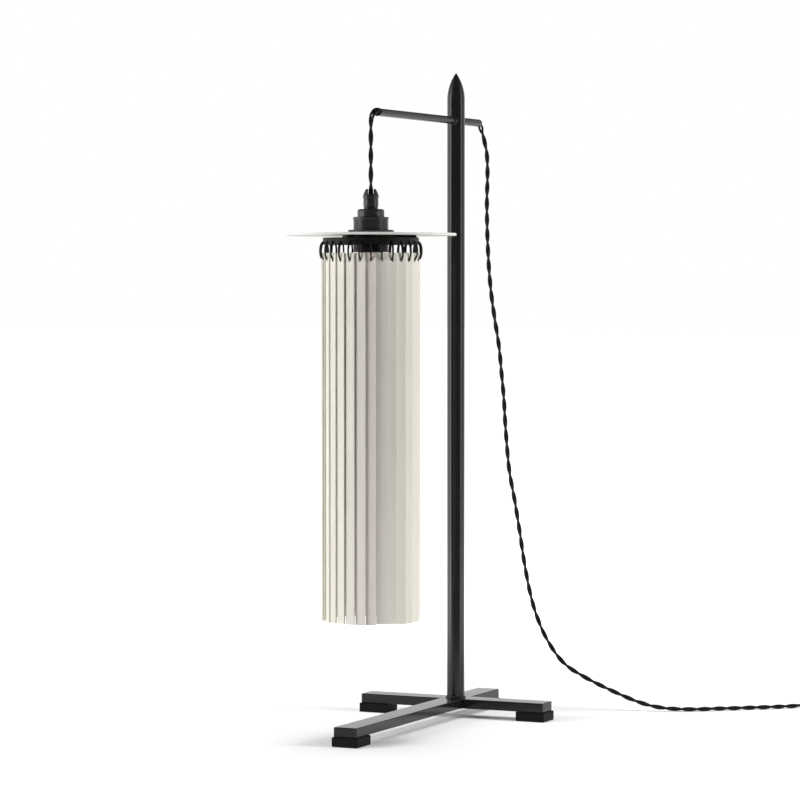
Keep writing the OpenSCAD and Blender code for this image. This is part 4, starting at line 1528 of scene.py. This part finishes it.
@dataclass
class Studio:
    """A pale floor in a room that looks white, and three soft lamps.

    In reflections the room has walls instead, which also stand for the lamps. They fade out overhead.
    WALLS gives turns from the camera's side in degrees, with right positive, and the brightness there.

    Args:
        camera_at: Where the camera stands.
        azimuth: The camera's turn about Z, in degrees.
        pitch: How far it looks down, in degrees.
        lens: Its focal length in millimetres.
        dark_way: Direction in which the floor is dimmer in bounced light, its colour painted darker there as
            shade.
        painted_floor_shade: Distances at which that painted shade begins and ends, and the share of the
            floor's colour left at both.
        far: Distances between which the floor turns white, and its glow at both.
        overhead: Heights between which the walls fade, and the share of their brightness at both.
        side_drop: Share by which a height counts for less to the sides, where the walls reach higher.
        middle: The place that the lamps face.
        fill: Brightness of the even fill.
    """

    camera_at: Triple = (1.53714, -3.33486, 0.49272)
    azimuth: float = 25.01
    pitch: float = 2.004
    lens: float = 149.17
    dark_way: Triple = (0.587, -0.809, 0.0)
    painted_floor_shade: Step = (0.2, 0.9, 1.0, 0.1)
    far: Step = (0.22, 1.2, 0.08, 1.0)
    overhead: Step = (0.05, 0.34, 1.0, 0.12)
    side_drop: float = 0.6
    WALLS = [(-179.0, 1.0), (-150.0, 1.0), (-132.0, 1.1), (-112.0, 1.9), (-86.0, 1.9), (-80.0, 4.6),
             (-71.0, 4.6), (-66.0, 0.1), (64.0, 0.1), (69.0, 4.0), (75.0, 4.0), (80.0, 0.7), (96.0, 0.7),
             (132.0, 0.85), (150.0, 1.0)]
    middle: Triple = (0.0, 0.0, 0.38)
    fill: float = 0.1

    def camera(self) -> None:
        """Places the camera."""
        data = bpy.data.cameras.new("view")
        data.lens = self.lens
        data.sensor_width = 36.0
        data.sensor_fit = "HORIZONTAL"
        data.clip_end = 60.0
        eye = placed("view", data)
        eye.location = self.camera_at
        eye.rotation_euler = (math.radians(90 - self.pitch), 0.0, math.radians(self.azimuth))
        bpy.context.scene.camera = eye

    def glow(self, sheet: NodeSheet, parts: Sequence[Socket]) -> Socket:
        """Writes how bright the walls are in a direction.

        Args:
            sheet: The tree that the nodes go into.
            parts: The direction's X, Y and Z.

        Returns:
            The brightness.
        """
        turn = sheet.maths("MULTIPLY_ADD", sheet.maths("ARCTAN2", parts[1], parts[0]), 0.5 / math.pi, 0.5)
        ramp = sheet.add("ShaderNodeValToRGB", Fac=turn)
        steps = ramp.color_ramp.elements
        peak = max(level for _, level in self.WALLS)
        for degrees, level in self.WALLS:
            step = steps.new(((degrees + self.azimuth - 90) / 360 + 0.5) % 1.0)
            step.color = (level / peak, level / peak, level / peak, 1.0)
        steps.remove(steps[0])
        steps.remove(steps[-1])
        return sheet.maths("MULTIPLY", ramp.outputs["Color"], peak)

    def floor(self) -> None:
        """Lays the pale floor: plain near the lamp, white further off, painted darker as shade in bounced
        light, and glowing with the walls' brightness in reflections as painted light.
        """
        clear()
        bpy.ops.mesh.primitive_plane_add(size=60.0, location=(0, 0, -0.0001))
        floor = settle(bpy.context.object, "floor")
        made = bpy.data.materials.new("floor_white")
        made.use_nodes = True
        sheet = NodeSheet(made.node_tree)
        shader = made.node_tree.nodes["Principled BSDF"]
        place = sheet.add("ShaderNodeTexCoord").outputs["Object"]
        away = sheet.add("ShaderNodeVectorMath", {"operation": "LENGTH"}, Vector=place).outputs["Value"]
        # painted shade: in every ray but the camera's the floor's colour is darkened, more so towards
        # dark_way, so less light bounces onto the lamp
        painted_floor_shade = sheet.ease(sheet.along(place, self.dark_way), *self.painted_floor_shade)
        seen = sheet.add("ShaderNodeLightPath").outputs
        direct = seen["Is Camera Ray"]
        shown = sheet.maths("MAXIMUM", sheet.maths("MULTIPLY", painted_floor_shade, 0.9), direct)
        sheet.feed(shader, "Base Color", sheet.blend(shown, (0.0, 0.0, 0.0, 1.0), (0.93, 0.93, 0.925, 1.0)))
        shader.inputs["Roughness"].default_value = 0.8
        shader.inputs["Specular IOR Level"].default_value = 0.15
        shader.inputs["Emission Color"].default_value = (1.0, 1.0, 1.0, 1.0)
        far = sheet.ease(away, *self.far)
        room = self.glow(sheet, sheet.add("ShaderNodeSeparateXYZ", Vector=place).outputs)
        # painted reflection: in glossy rays the floor glows with the walls' brightness, more so further off,
        # though it is no lamp; camera rays see the even white glow
        backdrop_glow_and_painted_reflection = sheet.maths("MAXIMUM", direct, sheet.maths("MULTIPLY", seen["Is Glossy Ray"], room))
        sheet.feed(shader, "Emission Strength", sheet.maths("MULTIPLY", backdrop_glow_and_painted_reflection, far))
        floor.data.materials.append(made)

    def world(self) -> None:
        """Fills the world: white where it is seen, walls in reflections, and a faint even fill."""
        world = bpy.data.worlds.new("studio")
        bpy.context.scene.world = world
        world.use_nodes = True
        sheet = NodeSheet(world.node_tree)
        sky = world.node_tree.nodes["Background"]
        ways = sheet.add("ShaderNodeTexCoord").outputs["Generated"]
        parts = sheet.add("ShaderNodeSeparateXYZ", Vector=ways).outputs
        side = sheet.maths("ABSOLUTE", sheet.along(ways, (-self.dark_way[1], self.dark_way[0], 0.0)))
        height = sheet.maths("MULTIPLY", parts["Z"], sheet.maths("MULTIPLY_ADD", side, -self.side_drop, 1.0))
        wall = sheet.ease(height, *self.overhead)
        seen = sheet.add("ShaderNodeLightPath").outputs
        direct = sheet.maths("MAXIMUM", seen["Is Camera Ray"], seen["Is Transmission Ray"])
        room = sheet.maths("MULTIPLY", self.glow(sheet, parts), wall)
        shown = sheet.add("ShaderNodeMix", Factor=seen["Is Diffuse Ray"], A=room, B=self.fill).outputs[0]
        sheet.feed(sky, "Strength", sheet.add("ShaderNodeMix", Factor=direct, A=shown, B=1.0).outputs[0])
        sky.inputs["Color"].default_value = (1.0, 1.0, 1.0, 1.0)

    def lamp(self, name: str, at: Place, size: Pair, power: float) -> None:
        """Hangs one soft lamp. The walls stand for it in reflections, so it isn't mirrored itself.

        Args:
            name: The lamp's name.
            at: Where it hangs. It faces the middle of the table lamp.
            size: Its width and height.
            power: Its power in watts.
        """
        data = bpy.data.lights.new(name, "AREA")
        data.shape = "RECTANGLE"
        data.size, data.size_y = size
        data.energy = power
        obj = placed(name, data)
        obj.location = at
        obj.visible_glossy = False
        obj.rotation_euler = (Vector(self.middle) - Vector(at)).to_track_quat("-Z", "Y").to_euler()

    def spot(self, turn: float, distance: float, height: float) -> Triple:
        """Returns a place by its turn from the camera's side, in degrees, with right positive."""
        a = math.radians(turn + self.azimuth - 90)
        return (distance * math.cos(a), distance * math.sin(a), height)

    def light(self) -> None:
        """Hangs a soft box on the left, a smaller one on the right, and a wide one overhead."""
        self.lamp("left_box", self.spot(-67, 2.2, 0.84), (0.8, 0.8), 33.0)
        self.lamp("right_box", self.spot(69, 2.3, 0.96), (0.6, 0.6), 38.0)
        self.lamp("top_box", (-0.1, 0.2, 4.0), (2.2, 2.2), 94.0)

    def build(self) -> None:
        """Builds the studio round the lamp."""
        self.floor()
        self.world()
        self.light()
        bpy.context.scene.view_settings.view_transform = "Standard"


def main() -> None:
    """Builds the camera, the cords and then the rest of the lamp in its studio."""
    logging.basicConfig(level=logging.INFO, format="%(name)s: %(message)s")
    studio = Studio()
    studio.camera()
    dress_solids()
    for part in (Lead(), HangingFlex(), Post(), Arm(), Foot(), Lampholder(), Bulb(), Shade()):
        log.info("building %s", type(part).__name__)
        part.build()
    studio.build()


if __name__ == "__main__":
    main()
